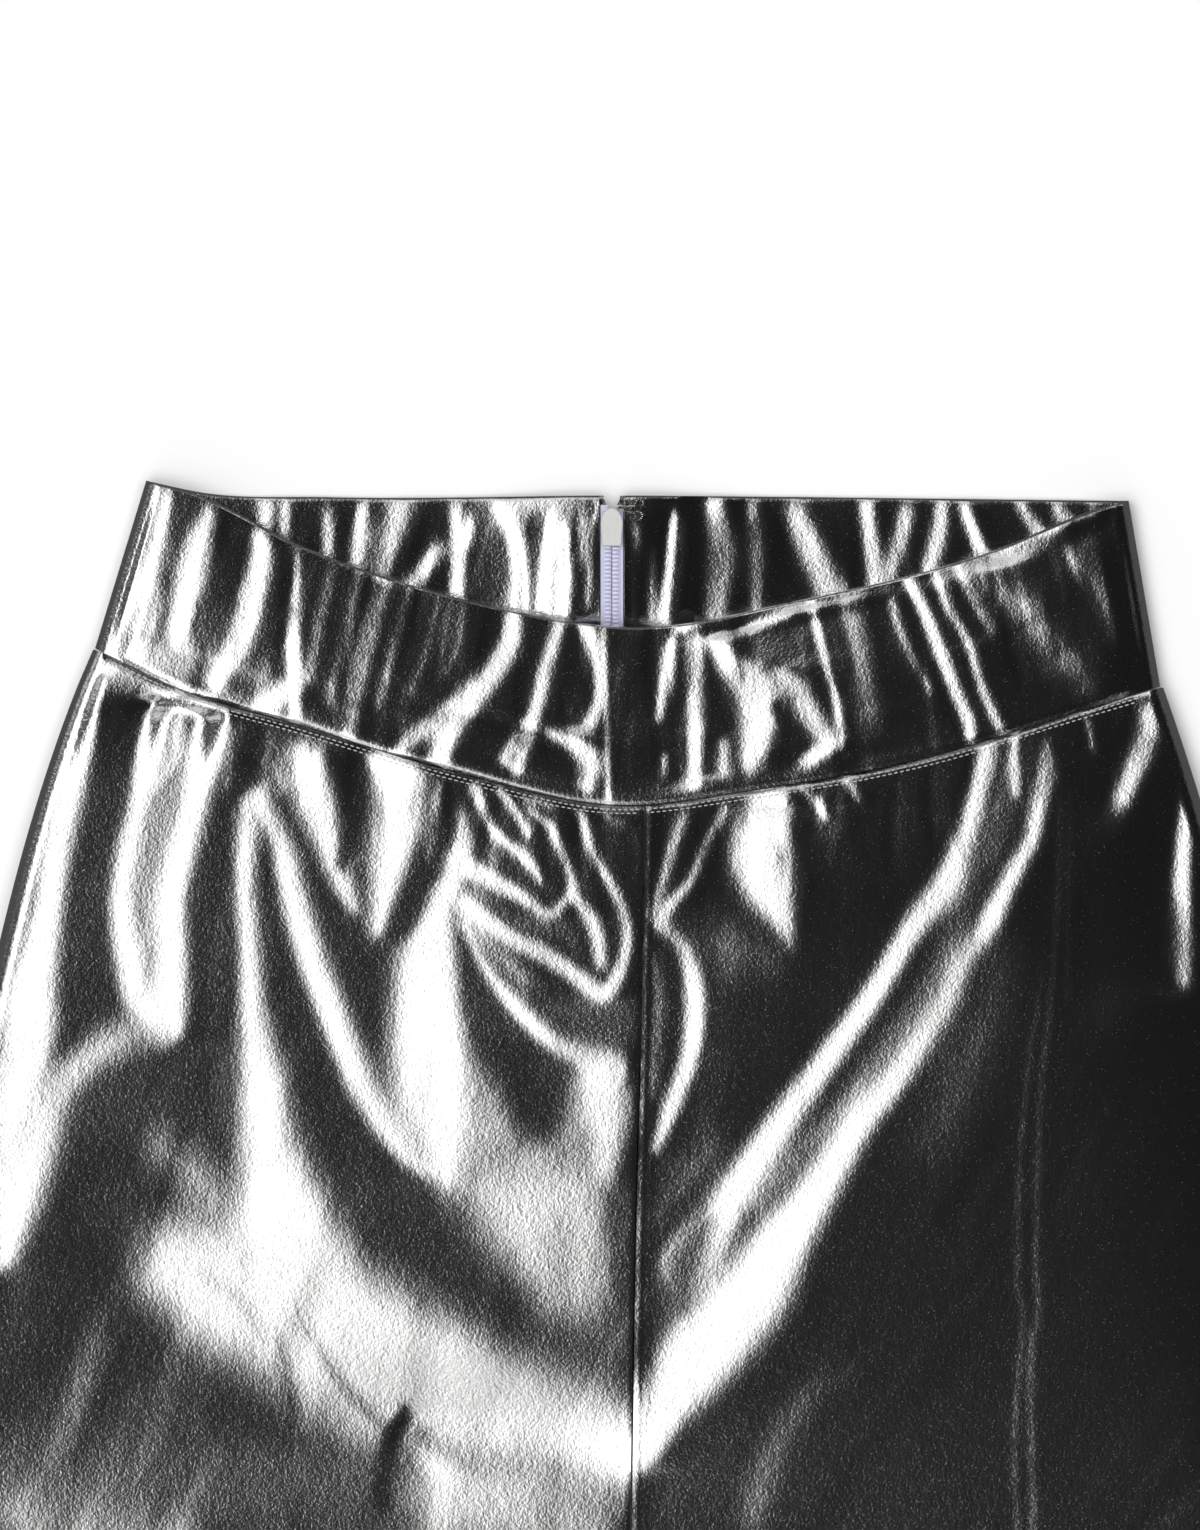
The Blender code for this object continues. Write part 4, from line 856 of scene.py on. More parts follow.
def shell(name: str, outer: Array, inner: Array) -> bpy.types.Object:
    """A closed thin shell between two grids of points, the inner one half as dense.

    Args:
        name: the piece's name.
        outer: the grid of its outer face, with odd numbers of rows and columns.
        inner: the grid of its inner face, with the same rows and columns.
    Returns:
        The new object.
    """
    rows, columns = outer.shape[:2]
    inside = inner[::2, ::2]
    front = np.arange(rows * columns).reshape(rows, columns)
    back = front.size + np.arange(inside[..., 0].size).reshape(inside.shape[:2])
    faces = quads(front).tolist() + quads(back)[:, ::-1].tolist()
    faces += rim(front[0], back[0]) + rim(front[:, -1], back[:, -1])
    faces += rim(front[-1, ::-1], back[-1, ::-1]) + rim(front[::-1, 0], back[::-1, 0])
    points = np.concatenate([outer.reshape(-1, 3), inside.reshape(-1, 3)])
    i, j = rows // 2, columns // 2
    facing = np.cross(outer[i, j + 1] - outer[i, j], outer[i + 1, j] - outer[i, j])
    if facing @ (outer[i, j] - inner[i, j]) < 0:
        faces = [face[::-1] for face in faces]
    return new_object(name, points, faces, 60)


def smoothed_normals(grid: Array, up: bool) -> Array:
    """Normals of a lightly smoothed grid, all to the outside.

    Args:
        grid: the points.
        up: whether the outside is above.
    Returns:
        One unit normal for each point.
    """
    normal = grid_normals(grid)
    middle = normal[grid.shape[0] // 2, grid.shape[1] // 2, 2]
    return normal if (middle > 0) == up else -normal


# ---------------------------------------------------------------- finishes


class Nodes:
    """A short way to write a node tree."""

    def __init__(self, tree: bpy.types.NodeTree) -> None:
        """Starts from a tree."""
        self.tree = tree

    def add(self, kind: str, **values: object) -> bpy.types.Node:
        """A node of this kind, with its attributes set."""
        node = self.tree.nodes.new(kind)
        for name, value in values.items():
            setattr(node, name, value)
        return node

    def link(self, source: bpy.types.NodeSocket, target: bpy.types.NodeSocket) -> None:
        """Joins two sockets."""
        self.tree.links.new(source, target)

    def math(self, operation: str, a: object, b: object = None, clamp: bool = False) -> bpy.types.NodeSocket:
        """A math node on sockets or numbers, and its result."""
        node = self.add("ShaderNodeMath", operation=operation, use_clamp=clamp)
        for k, value in enumerate((a, b)):
            if isinstance(value, bpy.types.NodeSocket):
                self.link(value, node.inputs[k])
            elif value is not None:
                node.inputs[k].default_value = value
        return node.outputs[0]

    def ramp(self, value: bpy.types.NodeSocket, low: float, high: float,
             to_low: float = 0.0, to_high: float = 1.0) -> bpy.types.NodeSocket:
        """A smooth change from to_low to to_high as the value goes from low to high."""
        node = self.add("ShaderNodeMapRange", interpolation_type="SMOOTHSTEP")
        self.link(value, node.inputs["Value"])
        for name, number in (("From Min", low), ("From Max", high), ("To Min", to_low), ("To Max", to_high)):
            node.inputs[name].default_value = number
        return node.outputs["Result"]


def group_tree(name: str, inputs: dict, outputs: Sequence[str]) -> bpy.types.NodeTree:
    """An empty node group with named inputs and outputs.

    Args:
        name: the group's name.
        inputs: socket name to its starting number.
        outputs: the names of its outputs.
    Returns:
        The group.
    """
    tree = bpy.data.node_groups.new(name, "ShaderNodeTree")
    for label, value in inputs.items():
        socket = tree.interface.new_socket(name=label, in_out="INPUT", socket_type="NodeSocketFloat")
        socket.default_value = value
    for label in outputs:
        tree.interface.new_socket(name=label, in_out="OUTPUT", socket_type="NodeSocketFloat")
    return tree


class Groups:
    """The effects that more than one material uses, each built once."""

    def __init__(self) -> None:
        """Builds the groups."""
        self.grain = self.build_grain()
        self.weave_and_painted_shade = self.build_weave_and_painted_shade()
        self.wear = self.build_wear()

    @staticmethod
    def build_grain() -> bpy.types.NodeTree:
        """Leather-like grain of two sizes with wider ripples, and sparse flecks of foil.

        Returns:
            The group, with outputs Height in millimetres and Fleck.
        """
        inputs = {"Fine": 0.02, "Coarse": 0.03, "Ripple": 0.1, "Fleck Share": 0.05}
        tree = group_tree("foil_grain", inputs, ("Height", "Fleck"))
        n = Nodes(tree)
        source, sink = n.add("NodeGroupInput"), n.add("NodeGroupOutput")
        place = n.add("ShaderNodeTexCoord").outputs["Object"]
        total = None
        for label, scale, detail in (("Fine", 1150.0, 1.0), ("Coarse", 480.0, 1.0), ("Ripple", 110.0, 2.0)):
            noise = n.add("ShaderNodeTexNoise", noise_dimensions="3D")
            noise.inputs["Scale"].default_value = scale
            noise.inputs["Detail"].default_value = detail
            noise.inputs["Distortion"].default_value = 0.4
            n.link(place, noise.inputs["Vector"])
            layer = n.math("MULTIPLY", noise.outputs["Fac"], source.outputs[label])
            total = layer if total is None else n.math("ADD", total, layer)
        n.link(total, sink.inputs["Height"])
        spots = n.add("ShaderNodeTexVoronoi", feature="F1")
        spots.inputs["Scale"].default_value = 1700.0
        n.link(place, spots.inputs["Vector"])
        tone = n.add("ShaderNodeSeparateColor")
        n.link(spots.outputs["Color"], tone.inputs["Color"])
        chosen = n.math("LESS_THAN", tone.outputs["Red"], source.outputs["Fleck Share"])
        dot = n.ramp(spots.outputs["Distance"], 0.2, 0.1)
        n.link(n.math("MULTIPLY", chosen, dot), sink.inputs["Fleck"])
        return tree

    @staticmethod
    def build_weave_and_painted_shade() -> bpy.types.NodeTree:
        """Woven ribs along and across, and a painted shade that mixes the tape's colour with a darker copy in
        the same rib pattern.

        Returns:
            The group, with outputs Height and Painted Shade.
        """
        tree = group_tree("tape_weave_and_painted_shade", {"Ribs": 1800.0}, ("Height", "Painted Shade"))
        n = Nodes(tree)
        source, sink = n.add("NodeGroupInput"), n.add("NodeGroupOutput")
        place = n.add("ShaderNodeTexCoord").outputs["Object"]
        split = n.add("ShaderNodeSeparateXYZ")
        n.link(place, split.inputs[0])
        waves = []
        for axis, factor in (("X", 1.0), ("Y", 2.2)):
            turned = n.math("MULTIPLY", split.outputs[axis], source.outputs["Ribs"])
            waves.append(n.math("SINE", n.math("MULTIPLY", turned, factor)))
        both = n.math("MULTIPLY", waves[0], waves[1])
        n.link(both, sink.inputs["Height"])
        # Painted shade: the rib pattern as the mix between the tape's colour and its darker copy.
        n.link(n.math("MULTIPLY_ADD", both, 0.5), sink.inputs["Painted Shade"])
        return tree

    @staticmethod
    def build_wear() -> bpy.types.NodeTree:
        """Patches of slight wear and handling marks.

        Returns:
            The group, with output Wear.
        """
        tree = group_tree("handling", {"Scale": 300.0, "Amount": 0.5}, ("Wear",))
        n = Nodes(tree)
        source, sink = n.add("NodeGroupInput"), n.add("NodeGroupOutput")
        place = n.add("ShaderNodeTexCoord").outputs["Object"]
        noise = n.add("ShaderNodeTexNoise")
        noise.inputs["Detail"].default_value = 4.0
        n.link(place, noise.inputs["Vector"])
        n.link(source.outputs["Scale"], noise.inputs["Scale"])
        worn = n.ramp(noise.outputs["Fac"], 0.45, 0.75)
        n.link(n.math("MULTIPLY", worn, source.outputs["Amount"]), sink.inputs["Wear"])
        return tree

    def place(self, n: Nodes, tree: bpy.types.NodeTree, **values: float) -> bpy.types.Node:
        """The group as a node in a material, with its own values."""
        node = n.add("ShaderNodeGroup", node_tree=tree)
        for name, value in values.items():
            node.inputs[name.replace("_", " ")].default_value = value
        return node


@dataclass(frozen=True)
class FoilFinish:
    """Silver foil on stretch cloth, with its leather-like grain."""

    name: str = "silver_foil"
    color: tuple = (0.72, 0.72, 0.715)
    roughness: float = 0.19
    fine: float = 0.085
    coarse: float = 0.06
    ripple: float = 0.10
    fleck_share: float = 0.13

    def build(self, groups: Groups) -> bpy.types.Material:
        """The material.

        Args:
            groups: the shared effects.
        Returns:
            A new material.
        """
        made = bpy.data.materials.new(self.name)
        made.use_nodes = True
        n = Nodes(made.node_tree)
        shader = made.node_tree.nodes["Principled BSDF"]
        shader.inputs["Metallic"].default_value = 1.0
        shader.inputs["Base Color"].default_value = (*self.color, 1.0)
        grain = groups.place(n, groups.grain, Fine=self.fine, Coarse=self.coarse,
                             Ripple=self.ripple, Fleck_Share=self.fleck_share)
        rough = n.math("ADD", n.math("MULTIPLY", grain.outputs["Fleck"], 0.4), self.roughness)
        n.link(rough, shader.inputs["Roughness"])
        bump = n.add("ShaderNodeBump")
        bump.inputs["Strength"].default_value = 1.0
        bump.inputs["Distance"].default_value = MM
        n.link(grain.outputs["Height"], bump.inputs["Height"])
        n.link(bump.outputs["Normal"], shader.inputs["Normal"])
        return made


@dataclass(frozen=True)
class ClothTapeFinish:
    """Woven tape, its colour mixed in a rib pattern with a darker copy that is painted shade."""

    name: str
    color: tuple
    painted_shade: tuple
    roughness: float = 0.8
    ribs: float = 6000.0

    def build(self, groups: Groups) -> bpy.types.Material:
        """The material."""
        made = bpy.data.materials.new(self.name)
        made.use_nodes = True
        n = Nodes(made.node_tree)
        shader = made.node_tree.nodes["Principled BSDF"]
        shader.inputs["Roughness"].default_value = self.roughness
        shader.inputs["Sheen Weight"].default_value = 0.3
        weave_and_painted_shade = groups.place(n, groups.weave_and_painted_shade, Ribs=self.ribs)
        # Painted shade: the tape's colour and its darker copy, mixed in the rib pattern.
        mix = n.add("ShaderNodeMix", data_type="RGBA")
        mix.inputs["A"].default_value = (*self.color, 1.0)
        mix.inputs["B"].default_value = (*self.painted_shade, 1.0)
        n.link(weave_and_painted_shade.outputs["Painted Shade"], mix.inputs["Factor"])
        n.link(mix.outputs["Result"], shader.inputs["Base Color"])
        bump = n.add("ShaderNodeBump")
        bump.inputs["Distance"].default_value = 0.00006
        n.link(weave_and_painted_shade.outputs["Height"], bump.inputs["Height"])
        n.link(bump.outputs["Normal"], shader.inputs["Normal"])
        return made


@dataclass(frozen=True)
class SmoothFinish:
    """Enamel, nylon, wire or thread: one colour with slight wear."""

    name: str
    color: tuple
    worn: tuple
    roughness: float
    metallic: float = 0.0
    coat: float = 0.0

    def build(self, groups: Groups) -> bpy.types.Material:
        """The material."""
        made = bpy.data.materials.new(self.name)
        made.use_nodes = True
        n = Nodes(made.node_tree)
        shader = made.node_tree.nodes["Principled BSDF"]
        shader.inputs["Metallic"].default_value = self.metallic
        shader.inputs["Coat Weight"].default_value = self.coat
        wear = groups.place(n, groups.wear, Scale=900.0, Amount=1.0)
        mix = n.add("ShaderNodeMix", data_type="RGBA")
        mix.inputs["A"].default_value = (*self.color, 1.0)
        mix.inputs["B"].default_value = (*self.worn, 1.0)
        n.link(wear.outputs["Wear"], mix.inputs["Factor"])
        n.link(mix.outputs["Result"], shader.inputs["Base Color"])
        n.link(n.math("MULTIPLY_ADD", wear.outputs["Wear"], 0.12), shader.inputs["Roughness"])
        made.node_tree.links[-1].from_node.inputs[2].default_value = self.roughness
        return made


# ---------------------------------------------------------------- cloth


@dataclass(frozen=True)
class Cut:
    """A cloth piece's size laid out flat, along the cloth, in metres and square metres."""

    width: float
    length: float
    area: float


@dataclass
class Cloth:
    """What every cloth piece has: its thickness and its finish."""

    finish: bpy.types.Material
    thick: float = 0.9

    def dress(self, piece: bpy.types.Object, node: str, rests_on: Sequence[str],
              slot: str = "silver_cloth") -> bpy.types.Object:
        """Args:
            piece: the mesh object.
            node: the CAD node that it replaces.
            rests_on: what it lies on; not used.
        Returns:
            The same object.
        """
        piece.data.materials.append(self.finish)
        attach(piece, "garment")
        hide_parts(node)
        LOG.info("%s: %d faces", piece.name, len(piece.data.polygons))
        return piece


@dataclass
class FrontBand(Cloth):
    """The front waistband with its gathers over the elastic."""

    thick: float = 2.2
    columns: int = 461
    rows: int = 66
    top_crown: float = 13.0
    foot_crown: float = 20.0
    edge_radius: float = 1.3
    foot_tuck: float = 0.7
    tuck_width: float = 1.0

    def build(self) -> bpy.types.Object:
        """The band from fold to fold, with a rounded top edge and a tucked foot."""
        fine = Wrinkles(11, 150, (8, 34), (0.5, 1.5), (0.03, 0.13)).strew(on_band, band_lean)
        relief = BandRelief((*BAND_FLANKS, *fine), PATTERN.front_top, PATTERN.front_seam, 72,
                            -0.09, 24.0)
        share = np.linspace(0, 1, self.rows)
        share = np.concatenate([[0.0, 0.006, 0.016], share[1:-1], [0.985, 1.0]])
        angle = np.linspace(0.015, math.pi / 2, 10)[:-1]
        outer = np.zeros((len(share), self.columns + 2 * len(angle), 3))
        thick = np.zeros(outer.shape[:2])
        roll, n = PATTERN.band_roll, len(angle)
        tops, feet = PATTERN.band_top_ends, PATTERN.band_foot_ends
        for i, v in enumerate(share):
            left, right = ((1 - v) * tops[k] + v * feet[k] for k in (0, 1))
            flat = np.linspace(left + roll, right - roll, self.columns)
            bend = roll * (1 - np.cos(angle))
            across = np.concatenate([left + bend, flat, (right - bend)[::-1]])
            u = (across - left) / (right - left)
            top = PATTERN.front_top(tops[0] + u * (tops[1] - tops[0]))
            foot = PATTERN.front_seam(feet[0] + u * (feet[1] - feet[0])) - SEAM_GAP
            down = (1 - v) * top + v * foot
            crown = self.top_crown + v * (self.foot_crown - self.top_crown)
            swell = (1 - np.exp(-(across - left - roll).clip(0) / BAND_DOME)) * (
                1 - np.exp(-(right - roll - across).clip(0) / BAND_DOME))
            height = 2 * roll + (crown - 2 * roll) * swell + math.sin(math.pi * v)
            calm = smooth_step(across - left, roll, roll + 7) * smooth_step(right - across, roll, roll + 7)
            height += calm * relief.height(across, down)
            height[:n] = roll * (1 + np.sin(angle))
            height[-n:] = height[:n][::-1]
            from_top, from_foot = v * BAND_HEIGHT, (1 - v) * BAND_HEIGHT
            t = self.thick * math.sqrt(max(1 - (1 - min(from_top / self.edge_radius, 1)) ** 2, 0.02))
            height -= (self.thick - t) * 0.5
            height -= self.foot_tuck * math.exp(-((from_foot / self.tuck_width) ** 2)) * calm
            outer[i] = PATTERN.row_points(across, down, height)
            thick[i] = t
        normal = smoothed_normals(outer, True)
        for column in (0, -1):
            normal[:, column, 2] = 0
        normal /= np.linalg.norm(normal, axis=2, keepdims=True)
        inner = outer - normal * thick[..., None] * MM
        return self.dress(shell("front_waistband_cloth", outer, inner), "front_waistband",
                          ["front_panel_left", "front_panel_right"])


@dataclass
class BackBand(Cloth):
    """One half of the back waistband, whose inner face shows above the dipped front."""

    side: Side = Side.LEFT
    thick: float = 2.2
    columns: int = 261
    rows: int = 46
    edge_radius: float = 1.2
    slot_half: float = 4.05

    def build(self) -> bpy.types.Object:
        """The half band from its fold to the zip."""
        s = self.side.value
        k = 0 if self.side is Side.LEFT else 1
        fine = Wrinkles(23, 120, (8, 26), (0.5, 1.2), (0.03, 0.14)).strew(on_back_band, band_lean)
        relief = BandRelief((*BACK_BAND_FLANKS, *fine), PATTERN.back_top, PATTERN.back_seam, 64,
                            -0.09, 13.0, PATTERN.zip_arch)
        share = np.linspace(0, 1, self.rows)
        share = np.concatenate([[0.0, 0.008, 0.018, 0.03], share[2:]])
        angle = np.linspace(0.015, math.pi / 2, 9)[:-1]
        n, roll = len(angle), PATTERN.band_roll
        outer, inner = (np.zeros((len(share), self.columns + n + 4, 3)) for _ in range(2))
        zip_x = PATTERN.zip_across
        for i, v in enumerate(share):
            end = (1 - v) * PATTERN.band_top_ends[k] + v * PATTERN.band_foot_ends[k]
            straight = end - s * roll
            slot = zip_x + s * self.slot_half
            zip_down = -1.6 * (1 - v) + BAND_HEIGHT * v
            split = 1.35 - 1.2 * smooth_step(zip_down, 6.0, 9.0)
            split += 1.3 * (1 - smooth_step(zip_down, -1.2, 2.6))
            bend = end - s * roll * (1 - np.cos(angle))
            flat = straight + np.linspace(0, 1, self.columns) * (slot - straight)
            lip = zip_x + s * np.array([4.02, 3.95, (3.95 + split) / 2, split])
            across = np.concatenate([bend, flat, lip])
            lean = (end - PATTERN.band_top_ends[k]) * (across - zip_x) / (end - zip_x)
            foot_lean = (PATTERN.band_foot_ends[k] - PATTERN.band_top_ends[k]) * (
                across - zip_x) / (end - zip_x)
            top = PATTERN.back_top(across - lean)
            foot = PATTERN.back_seam(across - lean + foot_lean) - SEAM_GAP
            down = (1 - v) * top + v * foot
            from_top = v * BAND_HEIGHT
            t = self.thick * math.sqrt(max(1 - (1 - min(from_top / self.edge_radius, 1)) ** 2, 0.02))
            under = PATTERN.zip_arch(across, down) + (self.thick - t) * 0.5 + 0.05
            calm = smooth_step(s * (straight - across), 0, 10) * smooth_step(s * (across - slot), 0.2, 2.0)
            over = under + t + calm * np.maximum(relief.height(across, down), -0.9 * t)
            over[n:] += 0.15
            over[-4:] = under[-4:] + np.array([2.0, 0.75, 0.75, 0.75])
            under[:n] = roll * (1 - np.sin(angle))
            outer[i] = PATTERN.row_points(across, down, under)
            inner_across = across.copy()
            inner_across[:n] = straight + s * (roll - t) * np.cos(angle)
            over[:n] = roll - (roll - t) * np.sin(angle)
            inner[i] = PATTERN.row_points(inner_across, down, over)
        name = "left" if self.side is Side.LEFT else "right"
        piece = shell(f"back_waistband_{name}_cloth", outer, inner)
        return self.dress(piece, f"back_waistband_{name}", [f"back_panel_{name}"])


@dataclass
class Panel(Cloth):
    """A front or back panel, a whole leg long."""

    side: Side = Side.LEFT
    layer: Layer = Layer.FRONT
    relief: Optional[HipRelief] = None
    flat_columns: int = 182
    seam_offsets: tuple = (9.0, 7.4, 6.0, 4.8, 3.8, 3.0, 2.3, 1.7, 1.1, 0.6, 0.15)
    ridge: float = 0.13
    seam_tuck: float = 0.8
    carried_from: float = 345.0
    carried_ease: float = 8.0
    hip_dome: float = 45.0
    leg_dome: float = 26.0

    def levels(self) -> Array:
        """The levels of the rows, close together where the photograph shows the cloth."""
        top = np.linspace(PATTERN.top_level, PATTERN.top_level + 12, 12, endpoint=False)
        if self.layer is Layer.BACK:
            hips = np.linspace(64, 330, 60, endpoint=False)
            return np.concatenate([top[::3], hips, np.linspace(330, 375, 20, endpoint=False),
                                   np.linspace(375, PATTERN.hem_down, 80)])
        hips = np.linspace(64, 330, 241, endpoint=False)
        crotch = np.linspace(330, 375, 26, endpoint=False)
        return np.concatenate([top, hips, crotch, np.linspace(375, PATTERN.hem_down, 96)])

    def leg_height(self, across: Array, down: Array) -> Array:
        """The upper layer's height from the thighs to the hem."""
        roll = PATTERN.roll(down)
        from_outer = np.abs(across - PATTERN.outer(self.side, down)) - roll
        from_inner = np.abs(across - PATTERN.inner(self.side, down))
        parted = smooth_step(down, PATTERN.crotch_down - 60, PATTERN.crotch_down + 20)
        hip = 1 - np.exp(-from_outer.clip(0) / self.hip_dome)
        leg = (1 - np.exp(-from_outer.clip(0) / self.leg_dome)) * (
            1 - np.exp(-from_inner.clip(0) / self.leg_dome))
        swell = (1 - parted) * hip + parted * leg
        height = 2 * roll + (PATTERN.crown(down) - 2 * roll) * swell
        calm = smooth_step(from_outer, 0, 18) * (1 - parted * (1 - smooth_step(from_inner, 2, 22)))
        return height + calm * sum(f.height(across, down) for f in LEG_FOLDS)

    def upper_height(self, across: Array, down: Array) -> Array:
        """The upper layer's height anywhere, from its creases and its seams."""
        ease = self.carried_ease
        level = down - ease * np.logaddexp(0.0, (down - self.carried_from) / ease)
        fold, centre = PATTERN.outer(self.side, down), PATTERN.inner(self.side, down)
        share = (across - fold) / (centre - fold)
        fold, centre = PATTERN.outer(self.side, level), PATTERN.inner(self.side, level)
        place = fold + share * (centre - fold)
        drawn = 2 * PATTERN.roll(level) + self.relief.height(place, level)
        carried = drawn - self.leg_height(place, level)
        last = 1 - smooth_step(down, 330.0, 470.0)
        from_inner = np.abs(across - PATTERN.inner(self.side, down))
        last = last * (1 - PATTERN.parting(down) * (1 - smooth_step(from_inner, 2, 26)))
        height = self.leg_height(across, down) + last * carried
        from_seam = np.abs(across - PATTERN.inner(self.side, down))
        if self.side is Side.RIGHT:
            ridge = self.ridge * np.exp(-(((from_seam - 1.9) / 1.0) ** 2))
            ridge = ridge + 0.5 * self.ridge * np.exp(-(((from_seam - 4.1) / 0.8) ** 2))
        else:
            ridge = -self.ridge * np.exp(-((from_seam / 0.9) ** 2))
        return height + ridge * (1 - PATTERN.parting(down))

    def face_height(self, across: Array, down: Array) -> Array:
        """The upper layer's height, tucked in under the band's seam."""
        below = down - PATTERN.seam(self.layer)(across)
        return self.upper_height(across, down) - self.seam_tuck * np.exp(-(below ** 2))

    def build(self) -> bpy.types.Object:
        """The panel as a thin shell on its solid's form."""
        s = self.side.value
        upper = self.layer is Layer.FRONT
        seam = PATTERN.seam(self.layer)
        levels = self.levels()
        angle = np.linspace(0.012, math.pi / 2, 9)[:-1]
        offsets = np.array(self.seam_offsets)
        inner_angle = np.linspace(math.pi / 2, 0.012, len(offsets) + 1)[1:]
        n, m, flat = len(angle), len(offsets), self.flat_columns
        levels = levels[1 - len(levels) % 2:]
        outer = np.zeros((len(levels), n + flat + m, 3))
        for i, level in enumerate(levels):
            down = np.full(n + flat + m, level)
            parted = PATTERN.parting(level)
            for _ in range(4):
                roll = PATTERN.roll(down)
                fold = PATTERN.outer(self.side, down)
                centre = PATTERN.inner(self.side, down)
                if not upper:
                    centre = centre + (1 - smooth_step(level, 60, PATTERN.crotch_down)) * (
                        PATTERN.zip_across - centre) * (1 - parted)
                edge = centre + s * 0.12
                first = fold[:n] - s * roll[:n] * (1 - np.cos(angle))
                tip = (1 - parted) * offsets[0] + parted * roll[-1] + 1.2
                start = fold[n:-m] - s * roll[n:-m]
                span = start + np.linspace(0, 1, flat) * (edge[n:-m] + s * tip - start)
                seam_end = edge[-m:] + s * offsets
                round_end = edge[-m:] + s * roll[-1] * (1 - np.cos(inner_angle))
                last = (1 - parted) * seam_end + parted * round_end
                across = np.concatenate([first, span, last])
                to_crotch = PATTERN.crotch_down - PATTERN.top_level
                fade = np.clip((level - PATTERN.top_level) / to_crotch, 0, 1)
                top = seam(across) + SEAM_GAP
                down = level + (top - PATTERN.top_level) * (1 - smooth_step(fade, 0, 1))
            if upper:
                height = self.face_height(across, down)
                turn = 1 + np.sin(angle), 1 + np.sin(inner_angle)
            else:
                height = 0.05 + np.zeros(len(across))
                turn = 1 - np.sin(angle), 1 - np.sin(inner_angle)
            height[:n] = roll[:n] * turn[0]
            height[-m:] = (1 - parted) * height[-m:] + parted * roll[-1] * turn[1]
            outer[i] = PATTERN.row_points(across, down, height)
        normal = smoothed_normals(outer, upper)
        parted = PATTERN.parting(levels)
        normal[:, 0, 2] = 0
        normal[:, -1, 0] *= parted
        normal[:, -1, 2] *= 1 - parted
        normal /= np.linalg.norm(normal, axis=2, keepdims=True)
        inner = outer - normal * self.thick * MM
        name = "left" if self.side is Side.LEFT else "right"
        piece = shell(f"{self.layer.value}_panel_{name}_cloth", outer, inner)
        below = f"back_panel_{name}"
        return self.dress(piece, f"{self.layer.value}_panel_{name}", [below] if upper else [])


# ---------------------------------------------------------------- trims


def tube(route: Array, radius: Array, sides: int) -> tuple:
    """A closed round tube along a route, with rounded ends.

    Args:
        route: points in metres.
        radius: the tube's radius at each, in metres.
        sides: how many sides round.
    Returns:
        Its points and its faces.
    """
    route = np.asarray(route, float)
    along = np.gradient(route, axis=0)
    along /= np.linalg.norm(along, axis=1, keepdims=True)
    up = np.array([0.0, 0.0, 1.0]) if abs(along[0, 2]) < 0.9 else np.array([1.0, 0.0, 0.0])
    angle = np.linspace(0, 2 * math.pi, sides, endpoint=False)
    rings = []
    for point, way, size in zip(route, along, np.broadcast_to(radius, len(route))):
        side = np.cross(way, up)
        side /= np.linalg.norm(side)
        up = np.cross(side, way)
        rings.append(point + size * (np.cos(angle)[:, None] * side + np.sin(angle)[:, None] * up))
    faces = []
    for k in range(len(route) - 1):
        for j in range(sides):
            i = (j + 1) % sides
            faces.append((k * sides + j, k * sides + i, (k + 1) * sides + i, (k + 1) * sides + j))
    last = (len(route) - 1) * sides
    faces += [tuple(range(sides))[::-1], tuple(range(last, last + sides))]
    return np.concatenate(rings), faces


def merged(name: str, parts: Sequence[tuple]) -> bpy.types.Object:
    """One object from several closed meshes.

    Args:
        name: the piece's name.
        parts: (points, faces) of each mesh.
    Returns:
        The object.
    """
    points, faces, start = [], [], 0
    for some, these in parts:
        points.append(some)
        faces += [tuple(start + k for k in face) for face in these]
        start += len(some)
    return new_object(name, np.concatenate(points), faces, 50)


def dress(piece: bpy.types.Object, finish: bpy.types.Material,
          body: str = "garment", node: Optional[str] = None) -> bpy.types.Object:
    """Gives a hard piece its finish and its body.

    Args:
        piece: the object.
        finish: its material.
        body: the body that it rides on.
        node: the CAD node that it replaces, if any.
    Returns:
        The same object.
    """
    piece.data.materials.clear()
    piece.data.materials.append(finish)
    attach(piece, body)
    if node:
        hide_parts(node)
    LOG.info("%s: %d faces", piece.name, len(piece.data.polygons))
    return piece


@dataclass
class Coil:
    """One side of the nylon coil: flattened turns that reach in to meet the other side's."""

    side: Side
    finish: bpy.types.Material
    pitch: float = 1.31
    wire: float = 0.42
    reach: float = 2.35

    def build(self) -> bpy.types.Object:
        """The row of turns, along the CAD coil."""
        name = "left" if self.side is Side.LEFT else "right"
        low, high = (np.array(corner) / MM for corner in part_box(f"zip_coil_{name}"))
        first, last = PATTERN.centre_down - high[1], PATTERN.centre_down - low[1]
        s = self.side.value
        turns = []
        count = int((last - first) / self.pitch)
        for k in range(count):
            down = first + (k + 0.5) * self.pitch + (0.25 * self.pitch if s > 0 else 0.0)
            base = self.base(down)
            bend = np.linspace(0, 1, 8)
            across = PATTERN.zip_across + s * (0.24 + (self.reach - 0.24) * bend)
            height = base + self.wire + 0.35 * np.sin(math.pi * bend)
            radius = self.wire * (0.72 + 0.28 * np.sin(math.pi * bend)) * MM
            route = PATTERN.row_points(across, np.full(8, down), height)
            turns.append(tube(route, radius, 8))
        return dress(merged(f"zip_coil_{name}_turns", turns), self.finish,
                     node=f"zip_coil_{name}")

    @staticmethod
    def base(down: float) -> float:
        """The height of the tape's upper face."""
        step = float(smooth_step(down, 53.5, 55.8))
        return float(PATTERN.zip_arch(PATTERN.zip_across, down)) + 0.8 + 0.6 * step + 0.3 + 0.4 + 0.05


